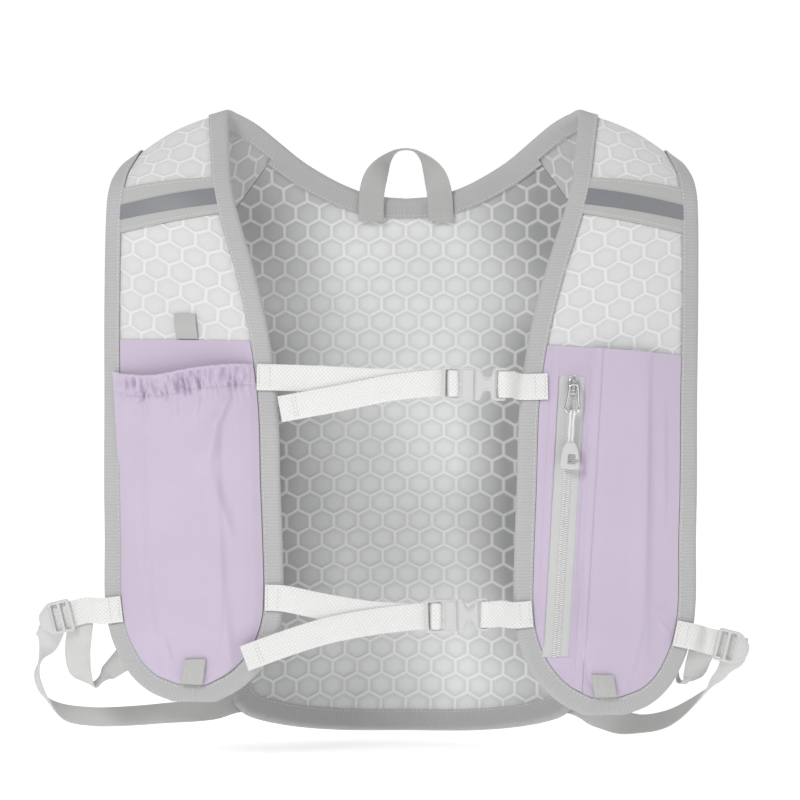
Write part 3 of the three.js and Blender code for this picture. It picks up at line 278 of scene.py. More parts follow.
def pocketPlace(side, u, w):
    """point and normal of a place inside the tape"""
    u, w = np.broadcast_arrays(np.asarray(u, float), np.asarray(w, float))
    inset = vest["pocketInset"]
    start, end = shareIn(side, "inner", u, inset), 1 - shareIn(side, "outer", u, inset)
    v = start + (end - start) * w
    inner, outer = insetPoint(side, "inner", u, inset), insetPoint(side, "outer", u, inset)
    onFoot = (u < vest["footRow"])[..., None]
    at = np.where(onFoot, inner + (outer - inner) * w[..., None], strapPoint(side, u, v))
    return at, np.where(onFoot, flatNormal(side), strapNormal(side, u, v))


def rowAtDrop(side, drop, edge="inner"):
    low, high = 0.0, 14.0
    for _ in range(40):
        middle = (low + high) / 2
        if -rail(side, edge, np.array(middle))[2] > drop:
            low = middle
        else:
            high = middle
    return low


# Rows by distance along the middle of a strap
lengthRows = np.linspace(0, vest["strapEnd"], 700)
lengthAt = np.concatenate(([0], np.cumsum(np.linalg.norm(np.diff(strapPoint(1, lengthRows, 0.5), axis=0), axis=1))))


def rowFurther(u, distance):
    return np.interp(np.interp(u, lengthRows, lengthAt) + distance, lengthAt, lengthRows)


print("surfaces ready")

# ---- meshes, in millimetres here and in metres in the scene


def newObject(name, verts, faces, loopUv, material, sharp=50):
    mesh = bpy.data.meshes.new(name)
    mesh.from_pydata((verts * mm).tolist(), [], faces.tolist())
    layer = mesh.uv_layers.new(name="UVMap")
    layer.data.foreach_set("uv", (loopUv * mm).astype(np.float32).ravel())
    mesh.materials.append(material)
    mesh.shade_smooth()
    mesh.set_sharp_from_angle(angle=math.radians(sharp))
    mesh.validate()
    thing = bpy.data.objects.new(name, mesh)
    bpy.context.scene.collection.objects.link(thing)
    return thing


def loft(name, rings, uv, material, closed=False, sharp=50):
    """closed rings of an even number of corners, swept one after another"""
    count, corners = rings.shape[:2]
    i = np.arange(count if closed else count - 1)[:, None]
    j = np.arange(corners)[None, :]
    ahead, beside = (i + 1) % count, (j + 1) % corners
    faces = np.stack(np.broadcast_arrays(i * corners + j, i * corners + beside, ahead * corners + beside,
                                         ahead * corners + j), -1).reshape(-1, 4)
    loops = np.stack((uv[i, j], uv[i, beside], uv[i + 1, beside], uv[i + 1, j]), 2).reshape(-1, 2)
    if not closed:
        k = np.arange(corners // 2 - 1)
        cap = np.stack((k, corners - 1 - k, corners - 2 - k, k + 1), -1)
        last = (count - 1) * corners
        faces = np.concatenate((faces, cap, last + cap[:, ::-1]))
        loops = np.concatenate((loops, uv[0][cap].reshape(-1, 2), uv[count - 1][cap[:, ::-1]].reshape(-1, 2)))
    verts = rings.reshape(-1, 3)
    p, q, r, s = (verts[faces[:, n]] for n in range(4))
    volume = np.einsum("ij,ij->", p, np.cross(q, r)) + np.einsum("ij,ij->", p, np.cross(r, s))
    if volume < 0:
        faces = faces[:, ::-1]
        loops = loops.reshape(-1, 4, 2)[:, ::-1].reshape(-1, 2)
    return newObject(name, verts, faces, loops, material, sharp)


def slab(name, at, normal, low, high, uv, material, sharp=50):
    """closed sheet over a grid of places, between two heights"""
    low = np.broadcast_to(low, at.shape[:2])[..., None]
    high = np.broadcast_to(high, at.shape[:2])[..., None]
    rings = np.concatenate((at + normal * high, (at + normal * low)[:, ::-1]), axis=1)
    return loft(name, rings, np.concatenate((uv, uv[:, ::-1]), axis=1), material, sharp=sharp)


def gridUv(at):
    """distances across and along a grid of places"""
    across = np.linalg.norm(np.diff(at, axis=1), axis=-1)
    across = np.concatenate((np.zeros((len(at), 1)), np.cumsum(across, axis=1)), axis=1)
    across -= across[:, -1:] / 2
    middle = at[:, at.shape[1] // 2]
    along = np.concatenate(([0], np.cumsum(np.linalg.norm(np.diff(middle, axis=0), axis=-1))))
    return points(across, along[:, None])


def place(thing, finish, *nodes):
    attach(thing, "root")
    if nodes:
        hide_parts(*nodes)
    return thing


def clothSheet(at):
    uv = gridUv(at)


# ---- node trees


def put(tree, kind, *values, **settings):
    """a new node, its inputs filled in order with links or values"""
    item = tree.nodes.new(kind)
    for key, value in settings.items():
        setattr(item, key, value)
    for socket, value in zip(item.inputs, values):
        if isinstance(value, bpy.types.NodeSocket):
            tree.links.new(value, socket)
        elif value is not None:
            socket.default_value = value
    return item.outputs


def math1(tree, operation, *values):
    return put(tree, "ShaderNodeMath", *values, operation=operation)[0]


def vector1(tree, operation, *values):
    return put(tree, "ShaderNodeVectorMath", *values, operation=operation)[0]


def spread(tree, value, fromLow, fromHigh, toLow=0.0, toHigh=1.0, smooth=True):
    return put(tree, "ShaderNodeMapRange", value, fromLow, fromHigh, toLow, toHigh,
               interpolation_type="SMOOTHSTEP" if smooth else "LINEAR")[0]


def newGroup(name, kind, inputs, outputs):
    tree = bpy.data.node_groups.new(name, kind)
    for way, sockets in (("INPUT", inputs), ("OUTPUT", outputs)):
        for title, socketType, *value in sockets:
            socket = tree.interface.new_socket(name=title, in_out=way, socket_type=socketType)
            if value:
                socket.default_value = value[0]
    return tree, tree.nodes.new("NodeGroupInput").outputs, tree.nodes.new("NodeGroupOutput").inputs


def honeycombGroup():
    """hexagonal cells in UV space: a pillow height, a rib mask and a number for each cell"""
    tree, given, out = newGroup("honeycomb", "ShaderNodeTree", [
        ("Vector", "NodeSocketVector"), ("Pitch", "NodeSocketFloat", 0.016), ("Row", "NodeSocketFloat", 0.011),
        ("Turn", "NodeSocketFloat", 0.0), ("Rib", "NodeSocketFloat", 0.07),
    ], [("Pillow", "NodeSocketFloat"), ("Ribs", "NodeSocketFloat"), ("Cell", "NodeSocketFloat")])
    turned = put(tree, "ShaderNodeVectorRotate", given["Vector"], None, None, given["Turn"], rotation_type="Z_AXIS")
    tree.links.new(given["Turn"], turned[0].node.inputs["Angle"])
    stretch = put(tree, "ShaderNodeCombineXYZ", math1(tree, "DIVIDE", 1.0, given["Pitch"]),
                  math1(tree, "DIVIDE", 0.8660254, given["Row"]), 0.0)[0]
    spot = vector1(tree, "MULTIPLY", turned[0], stretch)
    cell = (1.0, 1.7320508, 1.0)
    half = (0.5, 0.8660254, 0.5)
    places = []
    for shift in ((0.0, 0.0, 0.0), half):
        moved = vector1(tree, "SUBTRACT", spot, shift)
        middle = vector1(tree, "WRAP", moved, half, tuple(-value for value in half))
        flat = vector1(tree, "MULTIPLY", middle, (1.0, 1.0, 0.0))
        places.append((flat, put(tree, "ShaderNodeVectorMath", flat, operation="LENGTH")[1]))
    nearer = math1(tree, "LESS_THAN", places[0][1], places[1][1])
    inside = put(tree, "ShaderNodeMix", data_type="VECTOR")[1].node
    tree.links.new(nearer, inside.inputs[0])
    tree.links.new(places[1][0], inside.inputs[4])
    tree.links.new(places[0][0], inside.inputs[5])
    local = inside.outputs[1]
    size = vector1(tree, "ABSOLUTE", local)
    slant = put(tree, "ShaderNodeVectorMath", size, (0.5, 0.8660254, 0.0), operation="DOT_PRODUCT")[1]
    upright = put(tree, "ShaderNodeSeparateXYZ", size)[0]
    reach = math1(tree, "MAXIMUM", upright, slant)
    edge = math1(tree, "SUBTRACT", 0.5, reach)
    tree.links.new(spread(tree, edge, 0.0, given["Rib"], 1.0, 0.0), out["Ribs"])
    tree.links.new(spread(tree, edge, 0.0, 0.34), out["Pillow"])
    centre = vector1(tree, "SUBTRACT", spot, local)
    noise = put(tree, "ShaderNodeTexWhiteNoise", vector1(tree, "SNAP", centre, (0.25, 0.25, 1.0)))
    tree.links.new(noise[0], out["Cell"])
    return tree


def weaveGroup():
    """over and under threads in UV space, by their widths across and along"""
    tree, given, out = newGroup("weave", "ShaderNodeTree", [
        ("Vector", "NodeSocketVector"), ("Across", "NodeSocketFloat", 0.001), ("Along", "NodeSocketFloat", 0.001),
        ("Balance", "NodeSocketFloat", 0.5),
    ], [("Height", "NodeSocketFloat"), ("Thread", "NodeSocketFloat")])
    parts = put(tree, "ShaderNodeSeparateXYZ", given["Vector"])
    x = math1(tree, "DIVIDE", parts[0], given["Across"])
    y = math1(tree, "DIVIDE", parts[1], given["Along"])
    warp = math1(tree, "ABSOLUTE", math1(tree, "SINE", math1(tree, "MULTIPLY", x, math.pi)))
    weft = math1(tree, "ABSOLUTE", math1(tree, "SINE", math1(tree, "MULTIPLY", y, math.pi)))
    column, row = math1(tree, "FLOOR", x), math1(tree, "FLOOR", y)
    over = math1(tree, "PINGPONG", math1(tree, "ADD", column, row), 1.0)
    side = put(tree, "ShaderNodeMix", over, warp, weft)[0]
    both = math1(tree, "MULTIPLY", warp, weft)
    height = put(tree, "ShaderNodeMix", given["Balance"], both, side)[0]
    tree.links.new(height, out["Height"])
    gaps = math1(tree, "SUBTRACT", 1.0, both)
    tree.links.new(put(tree, "ShaderNodeMix", given["Balance"], gaps, over)[0], out["Thread"])
    return tree


def wearGroup():
    """soft unevenness and faint dust of cloth that has been handled, in object space"""
    tree, given, out = newGroup("wear", "ShaderNodeTree", [
        ("Colour", "NodeSocketColor", (0.8, 0.8, 0.8, 1)), ("Depth", "NodeSocketFloat", 0.06),
    ], [("Colour", "NodeSocketColor"), ("Fuzz", "NodeSocketFloat")])
    spot = put(tree, "ShaderNodeTexCoord")[3]
    broad = put(tree, "ShaderNodeTexNoise", spot)
    broad[0].node.inputs["Scale"].default_value = 22
    broad[0].node.inputs["Detail"].default_value = 4
    fine = put(tree, "ShaderNodeTexNoise", spot)
    fine[0].node.inputs["Scale"].default_value = 900
    fine[0].node.inputs["Detail"].default_value = 3
    mixed = math1(tree, "ADD", math1(tree, "MULTIPLY", broad[0], 0.7), math1(tree, "MULTIPLY", fine[0], 0.3))
    centred = math1(tree, "SUBTRACT", mixed, 0.5)
    gain = math1(tree, "ADD", 1.0, math1(tree, "MULTIPLY", centred, math1(tree, "MULTIPLY", given["Depth"], 2.0)))
    scaled = vector1(tree, "SCALE", given["Colour"], None, None, gain)
    tree.links.new(scaled, out["Colour"])
    tree.links.new(fine[0], out["Fuzz"])
    return tree


groups = {"honeycomb": honeycombGroup(), "weave": weaveGroup(), "wear": wearGroup()}


def useGroup(tree, name, **values):
    item = tree.nodes.new("ShaderNodeGroup")
    item.node_tree = groups[name]
    for key, value in values.items():
        if isinstance(value, bpy.types.NodeSocket):
            tree.links.new(value, item.inputs[key])
        else:
            item.inputs[key].default_value = value
    return item.outputs


def linear(*levels):
    return tuple(((c / 255 + 0.055) / 1.055) ** 2.4 if c > 10 else c / 3294.6 for c in levels)


def newMaterial(name, colour, roughness, sheen=0.0, metallic=0.0):
    material = bpy.data.materials.new(name)
    material.use_nodes = True
    tree = material.node_tree
    shader = tree.nodes["Principled BSDF"]
    shader.inputs["Base Color"].default_value = (*colour, 1)
    shader.inputs["Roughness"].default_value = roughness
    shader.inputs["Metallic"].default_value = metallic
    if sheen:
        shader.inputs["Sheen Weight"].default_value = sheen
        shader.inputs["Sheen Roughness"].default_value = 0.45
    return material, tree, shader


def bump(tree, shader, height, distance, strength=1.0, under=None):
    item = tree.nodes.new("ShaderNodeBump")
    item.inputs["Strength"].default_value = strength
    item.inputs["Distance"].default_value = distance
    tree.links.new(height, item.inputs["Height"])
    if under is not None:
        tree.links.new(under, item.inputs["Normal"])
    tree.links.new(item.outputs[0], shader.inputs["Normal"])
    return item.outputs[0]


def mixColour(tree, share, low, high):
    item = tree.nodes.new("ShaderNodeMix")
    item.data_type = "RGBA"
    for socket, value in ((item.inputs[0], share), (item.inputs[6], low), (item.inputs[7], high)):
        if isinstance(value, bpy.types.NodeSocket):
            tree.links.new(value, socket)
        else:
            socket.default_value = value if isinstance(value, float) else (*value, 1)
    return item.outputs[2]


def clothMaterial(name, colour, across, along, depth, balance=0.5, sheen=0.15, roughness=0.85, contrast=0.12,
                  wear=0.06, ribs="Height"):
    """woven cloth: thread relief, painted shade in the gaps between threads, and soft unevenness"""
    material, tree, shader = newMaterial(name, colour, roughness, sheen)
    uv = put(tree, "ShaderNodeUVMap", uv_map="UVMap")[0]
    threads = useGroup(tree, "weave", Vector=uv, Across=across, Along=along, Balance=balance)
    # painted shade: the colour darkens where the threads sink, by the same height as the bump
    gapShade = tuple(c * (1 - contrast) for c in colour)
    woven = mixColour(tree, threads[ribs], gapShade, colour)
    worn = useGroup(tree, "wear", Colour=woven, Depth=wear)
    tree.links.new(worn["Colour"], shader.inputs["Base Color"])
    fuzz = bump(tree, shader, worn["Fuzz"], 0.00008, 0.6)
    bump(tree, shader, threads["Height"], depth, 1.0, fuzz)
    return material


def airMeshMaterial(name, turn, colours):
    """knitted spacer mesh: soft hexagonal cells between lighter ribs, with painted shade at each cell's rim and painted
    shade from the shade attribute
    """
    material, tree, shader = newMaterial(name, linear(216, 217, 216), 0.9, 0.2)
    uv = put(tree, "ShaderNodeUVMap", uv_map="UVMap")[0]
    cells = useGroup(tree, "honeycomb", Vector=uv, Pitch=0.016, Row=0.0116, Turn=turn, Rib=0.125)
    knit = useGroup(tree, "weave", Vector=uv, Across=0.0011, Along=0.0009, Balance=0.3)
    rim, heart, rib = colours
    # painted shade: each cell's colour darkens from its middle to its rim beside the raised ribs
    cell = mixColour(tree, cells["Pillow"], linear(*rim), linear(*heart))
    # painted shade: the shade attribute mixes in darker copies of the cell and rib colours
    shade = put(tree, "ShaderNodeAttribute", attribute_name="shade")[2]
    shadeMix = spread(tree, shade, 0.0, 1.0, smooth=False)
    deep = mixColour(tree, shadeMix, linear(*(0.66 * c for c in heart)), cell)
    ribbed = mixColour(tree, cells["Ribs"], deep, mixColour(tree, shadeMix, linear(*(0.84 * c for c in rib)), linear(*rib)))
    worn = useGroup(tree, "wear", Colour=ribbed, Depth=0.07)
    tree.links.new(worn["Colour"], shader.inputs["Base Color"])
    fine = bump(tree, shader, knit["Height"], 0.00008, 0.6)
    pillow = math1(tree, "ADD", math1(tree, "MULTIPLY", cells["Pillow"], 0.25), cells["Ribs"])
    bump(tree, shader, pillow, 0.00055, 0.9, fine)
    return material


look = {
    # painted light: the back panel's mesh is a lighter copy of the strap mesh, standing for light on the back's inside
    "meshBackLit": airMeshMaterial("meshBackLit", 0.0, ((214, 215, 215), (232, 233, 233), (242, 243, 242))),
    "meshLeft": airMeshMaterial("meshLeft", 0.16, ((208, 209, 209), (215, 216, 215), (229, 230, 229))),
    "meshRight": airMeshMaterial("meshRight", -0.16, ((208, 209, 209), (215, 216, 215), (229, 230, 229))),
    "tape": clothMaterial("tape", linear(186, 186, 186), 0.02, 0.0010, 0.0001, balance=0.0, contrast=0.09),
    "lilac": clothMaterial("lilac", linear(201, 188, 208), 0.0006, 0.0005, 0.00004, contrast=0.04, sheen=0.2),
    "webbing": clothMaterial("webbing", linear(243, 243, 241), 0.0013, 0.0012, 0.0002, balance=0.0, contrast=0.16),
    "greyWebbing": clothMaterial("greyWebbing", linear(220, 220, 218), 0.0012, 0.0007, 0.0002, contrast=0.16),
    "band": clothMaterial("band", linear(190, 191, 188), 0.0011, 0.0009, 0.00014, contrast=0.1),
    "stripe": clothMaterial("stripe", linear(134, 136, 141), 0.0007, 0.0007, 0.00005, contrast=0.1, roughness=0.42, sheen=0),
    "zipTape": clothMaterial("zipTape", linear(210, 211, 210), 0.0009, 0.0009, 0.0001, contrast=0.12),
    "thread": clothMaterial("thread", linear(222, 222, 220), 0.0004, 0.0004, 0.00005, contrast=0.1),
}


def mouldedMaterial():
    material, tree, shader = newMaterial("mouldedPlastic", linear(204, 205, 204), 0.42)
    spot = put(tree, "ShaderNodeTexCoord")[3]
    grain = put(tree, "ShaderNodeTexNoise", spot)[0]
    grain.node.inputs["Scale"].default_value = 1800
    worn = useGroup(tree, "wear", Colour=(*linear(204, 205, 204), 1), Depth=0.03)
    tree.links.new(worn["Colour"], shader.inputs["Base Color"])
    tree.links.new(spread(tree, grain, 0.3, 0.7, 0.36, 0.5), shader.inputs["Roughness"])
    bump(tree, shader, grain, 0.00003, 0.6)
    return material


def chromeMaterial():
    material, tree, shader = newMaterial("chrome", linear(205, 206, 208), 0.16, metallic=1.0)
    spot = put(tree, "ShaderNodeTexCoord")[3]
    scuffs = put(tree, "ShaderNodeTexNoise", spot)[0]
    scuffs.node.inputs["Scale"].default_value = 600
    # painted reflection: the metal's colour runs from light where it faces the viewer to near black at its rims, by
    # view angle
    facing = put(tree, "ShaderNodeLayerWeight", 0.35)[1]
    steps = spread(tree, facing, 0.2, 0.48)
    tree.links.new(mixColour(tree, steps, linear(228, 229, 231), linear(24, 25, 27)), shader.inputs["Base Color"])
    tree.links.new(spread(tree, scuffs, 0.35, 0.75, 0.1, 0.3), shader.inputs["Roughness"])
    return material


look["cord"] = clothMaterial("cord", linear(238, 238, 237), 0.0007, 0.0007, 0.0001, contrast=0.12)
look["plastic"] = mouldedMaterial()
look["metal"] = chromeMaterial()
print("materials ready")

# ---- one scatter tree for stitches and zip teeth: small rounded bars on given places


def scatterTree():
    tree, given, out = newGroup("smallBars", "GeometryNodeTree", [
        ("Geometry", "NodeSocketGeometry"), ("Length", "NodeSocketFloat", 0.002), ("Width", "NodeSocketFloat", 0.0006),
        ("Height", "NodeSocketFloat", 0.0004), ("Material", "NodeSocketMaterial"),
    ], [("Geometry", "NodeSocketGeometry")])
    ways = [put(tree, "GeometryNodeInputNamedAttribute", name, data_type="FLOAT_VECTOR")[0] for name in ("along", "facing")]
    first = put(tree, "FunctionNodeAlignRotationToVector", None, None, ways[0], axis="X")[0]
    second = put(tree, "FunctionNodeAlignRotationToVector", first, None, ways[1], axis="Z", pivot_axis="X")[0]
    ball = put(tree, "GeometryNodeMeshUVSphere", 8, 6, 0.5)[0]
    size = put(tree, "ShaderNodeCombineXYZ", given["Length"], given["Width"], given["Height"])[0]
    spots = put(tree, "GeometryNodeMeshToPoints")
    tree.links.new(given["Geometry"], spots[0].node.inputs["Mesh"])
    dots = tree.nodes.new("GeometryNodeInstanceOnPoints")
    for key, value in (("Points", spots[0]), ("Instance", ball), ("Rotation", second), ("Scale", size)):
        tree.links.new(value, dots.inputs[key])
    real = put(tree, "GeometryNodeRealizeInstances", dots.outputs[0])[0]
    smooth = put(tree, "GeometryNodeSetShadeSmooth", real)[0]
    dressed = tree.nodes.new("GeometryNodeSetMaterial")
    tree.links.new(smooth, dressed.inputs["Geometry"])
    tree.links.new(given["Material"], dressed.inputs["Material"])
    tree.links.new(dressed.outputs[0], out["Geometry"])
    return tree


smallBars = scatterTree()


def scatter(name, at, along, facing, size, material):
    """bars of a size (length, width, height) in millimetres at places with two ways each"""
    mesh = bpy.data.meshes.new(name)
    mesh.from_pydata((at * mm).tolist(), [], [])
    for key, ways in (("along", along), ("facing", facing)):
        mesh.attributes.new(key, "FLOAT_VECTOR", "POINT").data.foreach_set("vector", ways.astype(np.float32).ravel())
    thing = bpy.data.objects.new(name, mesh)
    bpy.context.scene.collection.objects.link(thing)
    modifier = thing.modifiers.new("smallBars", "NODES")
    modifier.node_group = smallBars
    sockets = {item.name: item.identifier for item in smallBars.interface.items_tree if item.in_out == "INPUT"}
    for key, value in zip(("Length", "Width", "Height"), size):
        modifier[sockets[key]] = value * mm
    modifier[sockets["Material"]] = material
    ready = thing.evaluated_get(bpy.context.evaluated_depsgraph_get())
    plain = bpy.data.meshes.new_from_object(ready)
    thing.modifiers.clear()
    thing.data = plain
    return thing


def resample(path, step, *others):
    """places an even step apart along a path, with whatever else runs along it"""
    gone = np.concatenate(([0], np.cumsum(np.linalg.norm(np.diff(path, axis=0), axis=-1))))
    count = max(int(round(gone[-1] / step)), 2)
    spots = np.linspace(gone[-1] / count / 2, gone[-1] * (1 - 0.5 / count), count)
    return [np.stack([np.interp(spots, gone, item[:, axis]) for axis in range(3)], -1) for item in (path, *others)]


seams = {}


def stitchAlong(owner, path, facing, step=2.7, length=2.0, width=0.55, height=0.5):
    """keeps a run of stitches on a path, for one piece of thread on each owner"""
    at, up = resample(path, step, facing)
    along = unit(np.gradient(at, axis=0))
    seams.setdefault(owner, []).append((at, along, unit(up), (length, width, height)))


def sewSeams():
    for owner, runs in seams.items():
        at, along, facing = (np.concatenate([run[k] for run in runs]) for k in range(3))
        thread = scatter(f"{owner}_stitches", at, along, facing, runs[0][3], look["thread"])
        place(thread, "webbing")


# ---- panels of padded air mesh

def shadeInside(thing, at, shade):
    """painted shade for the side that faces the wearer: a factor, 1 on the outer face, that darkens the inner face's
    colour
    """
    inner = shade(at)
    values = np.concatenate((np.ones(at.shape[:2]), inner[:, ::-1]), axis=1)
    thing.data.attributes.new("shade", "FLOAT", "POINT").data.foreach_set("value", values.astype(np.float32).ravel())


# painted shade for the back panel's inner face: darker towards both sides (more on the right and below the waist, less
# at the foot), darker high up towards the shoulders, with soft painted waves of light and shade
def backShade(at):
    x, z = at[..., 0], at[..., 2]
    lower = np.clip((-z - 105) / 60, 0, 1)
    foot = np.clip((-z - 290) / 50, 0, 1)
    sides = np.clip((np.abs(x + 5) - 34) / 44, 0, 1.25) * (0.45 + 0.55 * lower) * (1 - 0.66 * foot)
    top = np.clip((z + 80 + 0.3 * np.abs(x)) / 60, 0, 1) * np.clip(np.abs(x) / 60, 0, 1)
    waves = 0.07 * np.sin(x / 13 + z / 31) * np.sin(z / 17)
    return np.clip(1 - np.where(x > 0, 1.3, 1.05) * sides**1.2 - 0.4 * top + waves, 0, 1)


panels = {"down": 230, "across": 56, "seamGap": 0.25, "backAcross": 150, "backDown": 210, "skin": 0.05}
outAt = {-1: "left", 1: "right"}
for side in (-1, 1):
    u = np.linspace(0, vest["strapEnd"] - panels["seamGap"] / 20, panels["down"])[:, None]
    v = (0.5 - 0.5 * np.cos(np.linspace(0, math.pi, panels["across"])))[None, :] * 0.55 \
        + 0.45 * np.linspace(0, 1, panels["across"])[None, :]
    at = strapPoint(side, u, v)
    normal = np.where((u < vest["footRow"])[..., None], flatNormal(side), strapNormal(side, u, v))
    width = np.linalg.norm(rail(side, "outer", u[:, 0]) - rail(side, "inner", u[:, 0]), axis=-1)
    uv = points((v - 0.5) * width[:, None] * side, np.interp(u, lengthRows, lengthAt))
    name = f"strap_mesh_{outAt[side]}"
    panel = slab(name, at, normal, -vest["halfPanel"], vest["halfPanel"], uv, look[f"mesh{outAt[side].title()}"])
    place(panel, "mesh", f"strap_panel_{outAt[side]}")
    # painted shade: the strap panels' inner face is darkened evenly to 0.55
    shadeInside(panel, at, lambda place: 0.55 + 0 * place[..., 0])

c = np.linspace(-vest["outlineEnd"], vest["outlineEnd"], panels["backAcross"] * 2 + 1)[None, ::2]
t = np.linspace(0.0005, 1, panels["backDown"])[:, None]
at = backPoint(np.sign(c) + (c == 0), np.abs(c), t)
normal = backNormal(at[..., 0], at[..., 2])
slope = 2 * 0.6 * vest["backDepth"] / vest["backHalf"] ** 2 * at[..., 0]
around = at[..., 0] * 0.5 * (np.sqrt(1 + slope**2) + np.arcsinh(slope) / np.where(np.abs(slope) < 1e-6, 1e-6, slope))
uv = points(np.where(np.abs(slope) < 1e-6, 0, around), at[..., 2])
panel = slab("back_mesh", at, normal, -vest["halfPanel"], vest["halfPanel"], uv, look["meshBackLit"])
shadeInside(panel, at, backShade)
place(panel, "mesh", "back_panel")
print("panels made")

# ---- the edge tape: one folded channel round the whole outline

tape = {"steps": 3, "high": 3.0, "wall": 0.7, "finer": 5, "flatPoints": 3, "foldPoints": 9, "stitchIn": 1.3}


def finer(stops, times):
    stops = np.asarray(stops, float)
    return np.interp(np.linspace(0, len(stops) - 1, (len(stops) - 1) * times + 1), np.arange(len(stops)), stops)


strapStops = finer([*range(0, 12), 11.5, 12, 12.5, 13, 13.25, 13.5, 13.75, 14, 14.25, 14.5, 14.75, 15, 15.25, 15.5, 16, 16.5,
                    16.95], tape["finer"])
strapStops = np.unique(np.maximum.accumulate(strapStops))
downStops = finer([0, 0.03, 0.06, *np.linspace(0.1, 0.9, 9), 0.945, 0.975, 1], tape["finer"])
sideStops = finer([*np.linspace(0, 4, 9), *np.linspace(5, 8, 7)], tape["finer"])


def strapTape(side, edge, u):
    share = shareIn(side, edge, u, vest["tapeWidth"])
    onFoot = (u < vest["footRow"])[:, None]
    flat = np.broadcast_to(flatNormal(side), (len(u), 3))
    atEdge = strapNormal(side, u, np.full(len(u), 0.0 if edge == "inner" else 1.0))
    atShare = strapNormal(side, u, share if edge == "inner" else 1 - share)
    return np.stack((rail(side, edge, u), np.where(onFoot, flat, atEdge), insetPoint(side, edge, u, vest["tapeWidth"]),
                     np.where(onFoot, flat, atShare)), 1)


def centripetal(path, place):
    """the curve through points that the solids follow"""
    path = np.concatenate((2 * path[:1] - path[1:2], path, 2 * path[-1:] - path[-2:-1]))
    k = np.clip(np.floor(place).astype(int), 0, len(path) - 4)
    t = (place - k)[:, None]
    a, b, c, d = (path[k + i] for i in range(4))
    da, db, dc = (np.maximum(np.linalg.norm(q - p, axis=-1, keepdims=True) ** 0.5, 1e-4) for p, q in ((a, b), (b, c), (c, d)))
    rise = ((b - a) / da - (c - a) / (da + db) + (c - b) / db) * db
    fall = ((c - b) / db - (d - b) / (db + dc) + (d - c) / dc) * db
    return (b * (2 * t**3 - 3 * t**2 + 1) + rise * (t**3 - 2 * t**2 + t)
            + c * (3 * t**2 - 2 * t**3) + fall * (t**3 - t**2))


def footTape(side):
    edge = (rail(side, "inner", 0) + rail(side, "outer", 0)) / 2
    upward = unit(strapPoint(side, 1, 0.5) - edge) * vest["tapeWidth"]
    return np.stack((edge, flatNormal(side), edge + upward, flatNormal(side)))[None]


def backTape(side, c, t, nextC, nextT, width):
    edge, along = backPoint(side, c, t), backPoint(side, nextC, nextT) - backPoint(side, c, t)
    square = unit(points(along[:, 2], 0, -along[:, 0])) * np.broadcast_to(width, len(edge))[:, None]
    inward = backPoint(side, c * 0.5, 0.5) - edge
    square = np.where(np.einsum("ij,ij->i", square, inward)[:, None] < 0, -square, square)
    inside = onBack(edge[:, 0] + square[:, 0], edge[:, 2] + square[:, 2])
    return np.stack((edge, backNormal(edge[:, 0], edge[:, 2]), inside, backNormal(inside[:, 0], inside[:, 2])), 1)


def neckTape(side, c):
    turn = np.where(c > vest["seamRow"] - 0.5, -0.3, 0.3)
    return backTape(side, c, 0 * c, c + turn, 0 * c, vest["tapeWidth"] * (1 + 0.35 * c / vest["seamRow"]))


def hemTape(side, c):
    turn = np.where(c > vest["outlineEnd"] - 0.5, -0.3, 0.3)
    return backTape(side, c, 0 * c + 1, c + turn, 0 * c + 1, vest["tapeWidth"])


def armholeTape(side, t):
    end = np.full(len(t), float(vest["outlineEnd"]))
    return backTape(side, end, t, end, np.where(t > 0.5, t - 0.02, t + 0.02), vest["tapeWidth"])


neckStops = sideStops[(sideStops > 0) & (sideStops <= 4)]
hemStops = sideStops[sideStops > 0]
armholeStops = downStops[:-1]
centre = np.zeros(1)
runs = [
    footTape(-1), strapTape(-1, "inner", strapStops), neckTape(-1, neckStops[::-1]), neckTape(1, centre),
    neckTape(1, neckStops), strapTape(1, "inner", strapStops[::-1]), footTape(1), strapTape(1, "outer", strapStops),
    armholeTape(1, armholeStops), hemTape(1, hemStops[::-1]), hemTape(1, centre), hemTape(-1, hemStops),
    armholeTape(-1, armholeStops[::-1]), strapTape(-1, "outer", strapStops[::-1]),
]
line = np.concatenate(runs)
wrapped = np.concatenate((line[-2:], line, line[:2])).reshape(len(line) + 4, -1)
line = centripetal(wrapped, np.arange(2, len(line) + 2, 1 / tape["steps"])).reshape(-1, 4, 3)
line[:, 1], line[:, 3] = unit(line[:, 1]), unit(line[:, 3])
edge, edgeNormal, inside, insideNormal = (line[:, k] for k in range(4))
outward = unit(edge - inside)


def tapeRing(reach, high):
    """half ring on one side of the panel, from the inner line out to the fold"""
    centreOut = vest["edgeRoom"] + vest["tapeThick"] - tape["high"]
    base = edge + outward * centreOut
    rows = [inside + (base - inside) * s + unit(insideNormal + (edgeNormal - insideNormal) * s) * high
            for s in np.linspace(0, 1, tape["flatPoints"], endpoint=False)]
    for angle in np.linspace(0, math.pi / 2, tape["foldPoints"] // 2 + 1)[: None if high > 0 else -1]:
        rows.append(base + outward * math.sin(angle) * reach + edgeNormal * math.cos(angle) * high)
    return rows


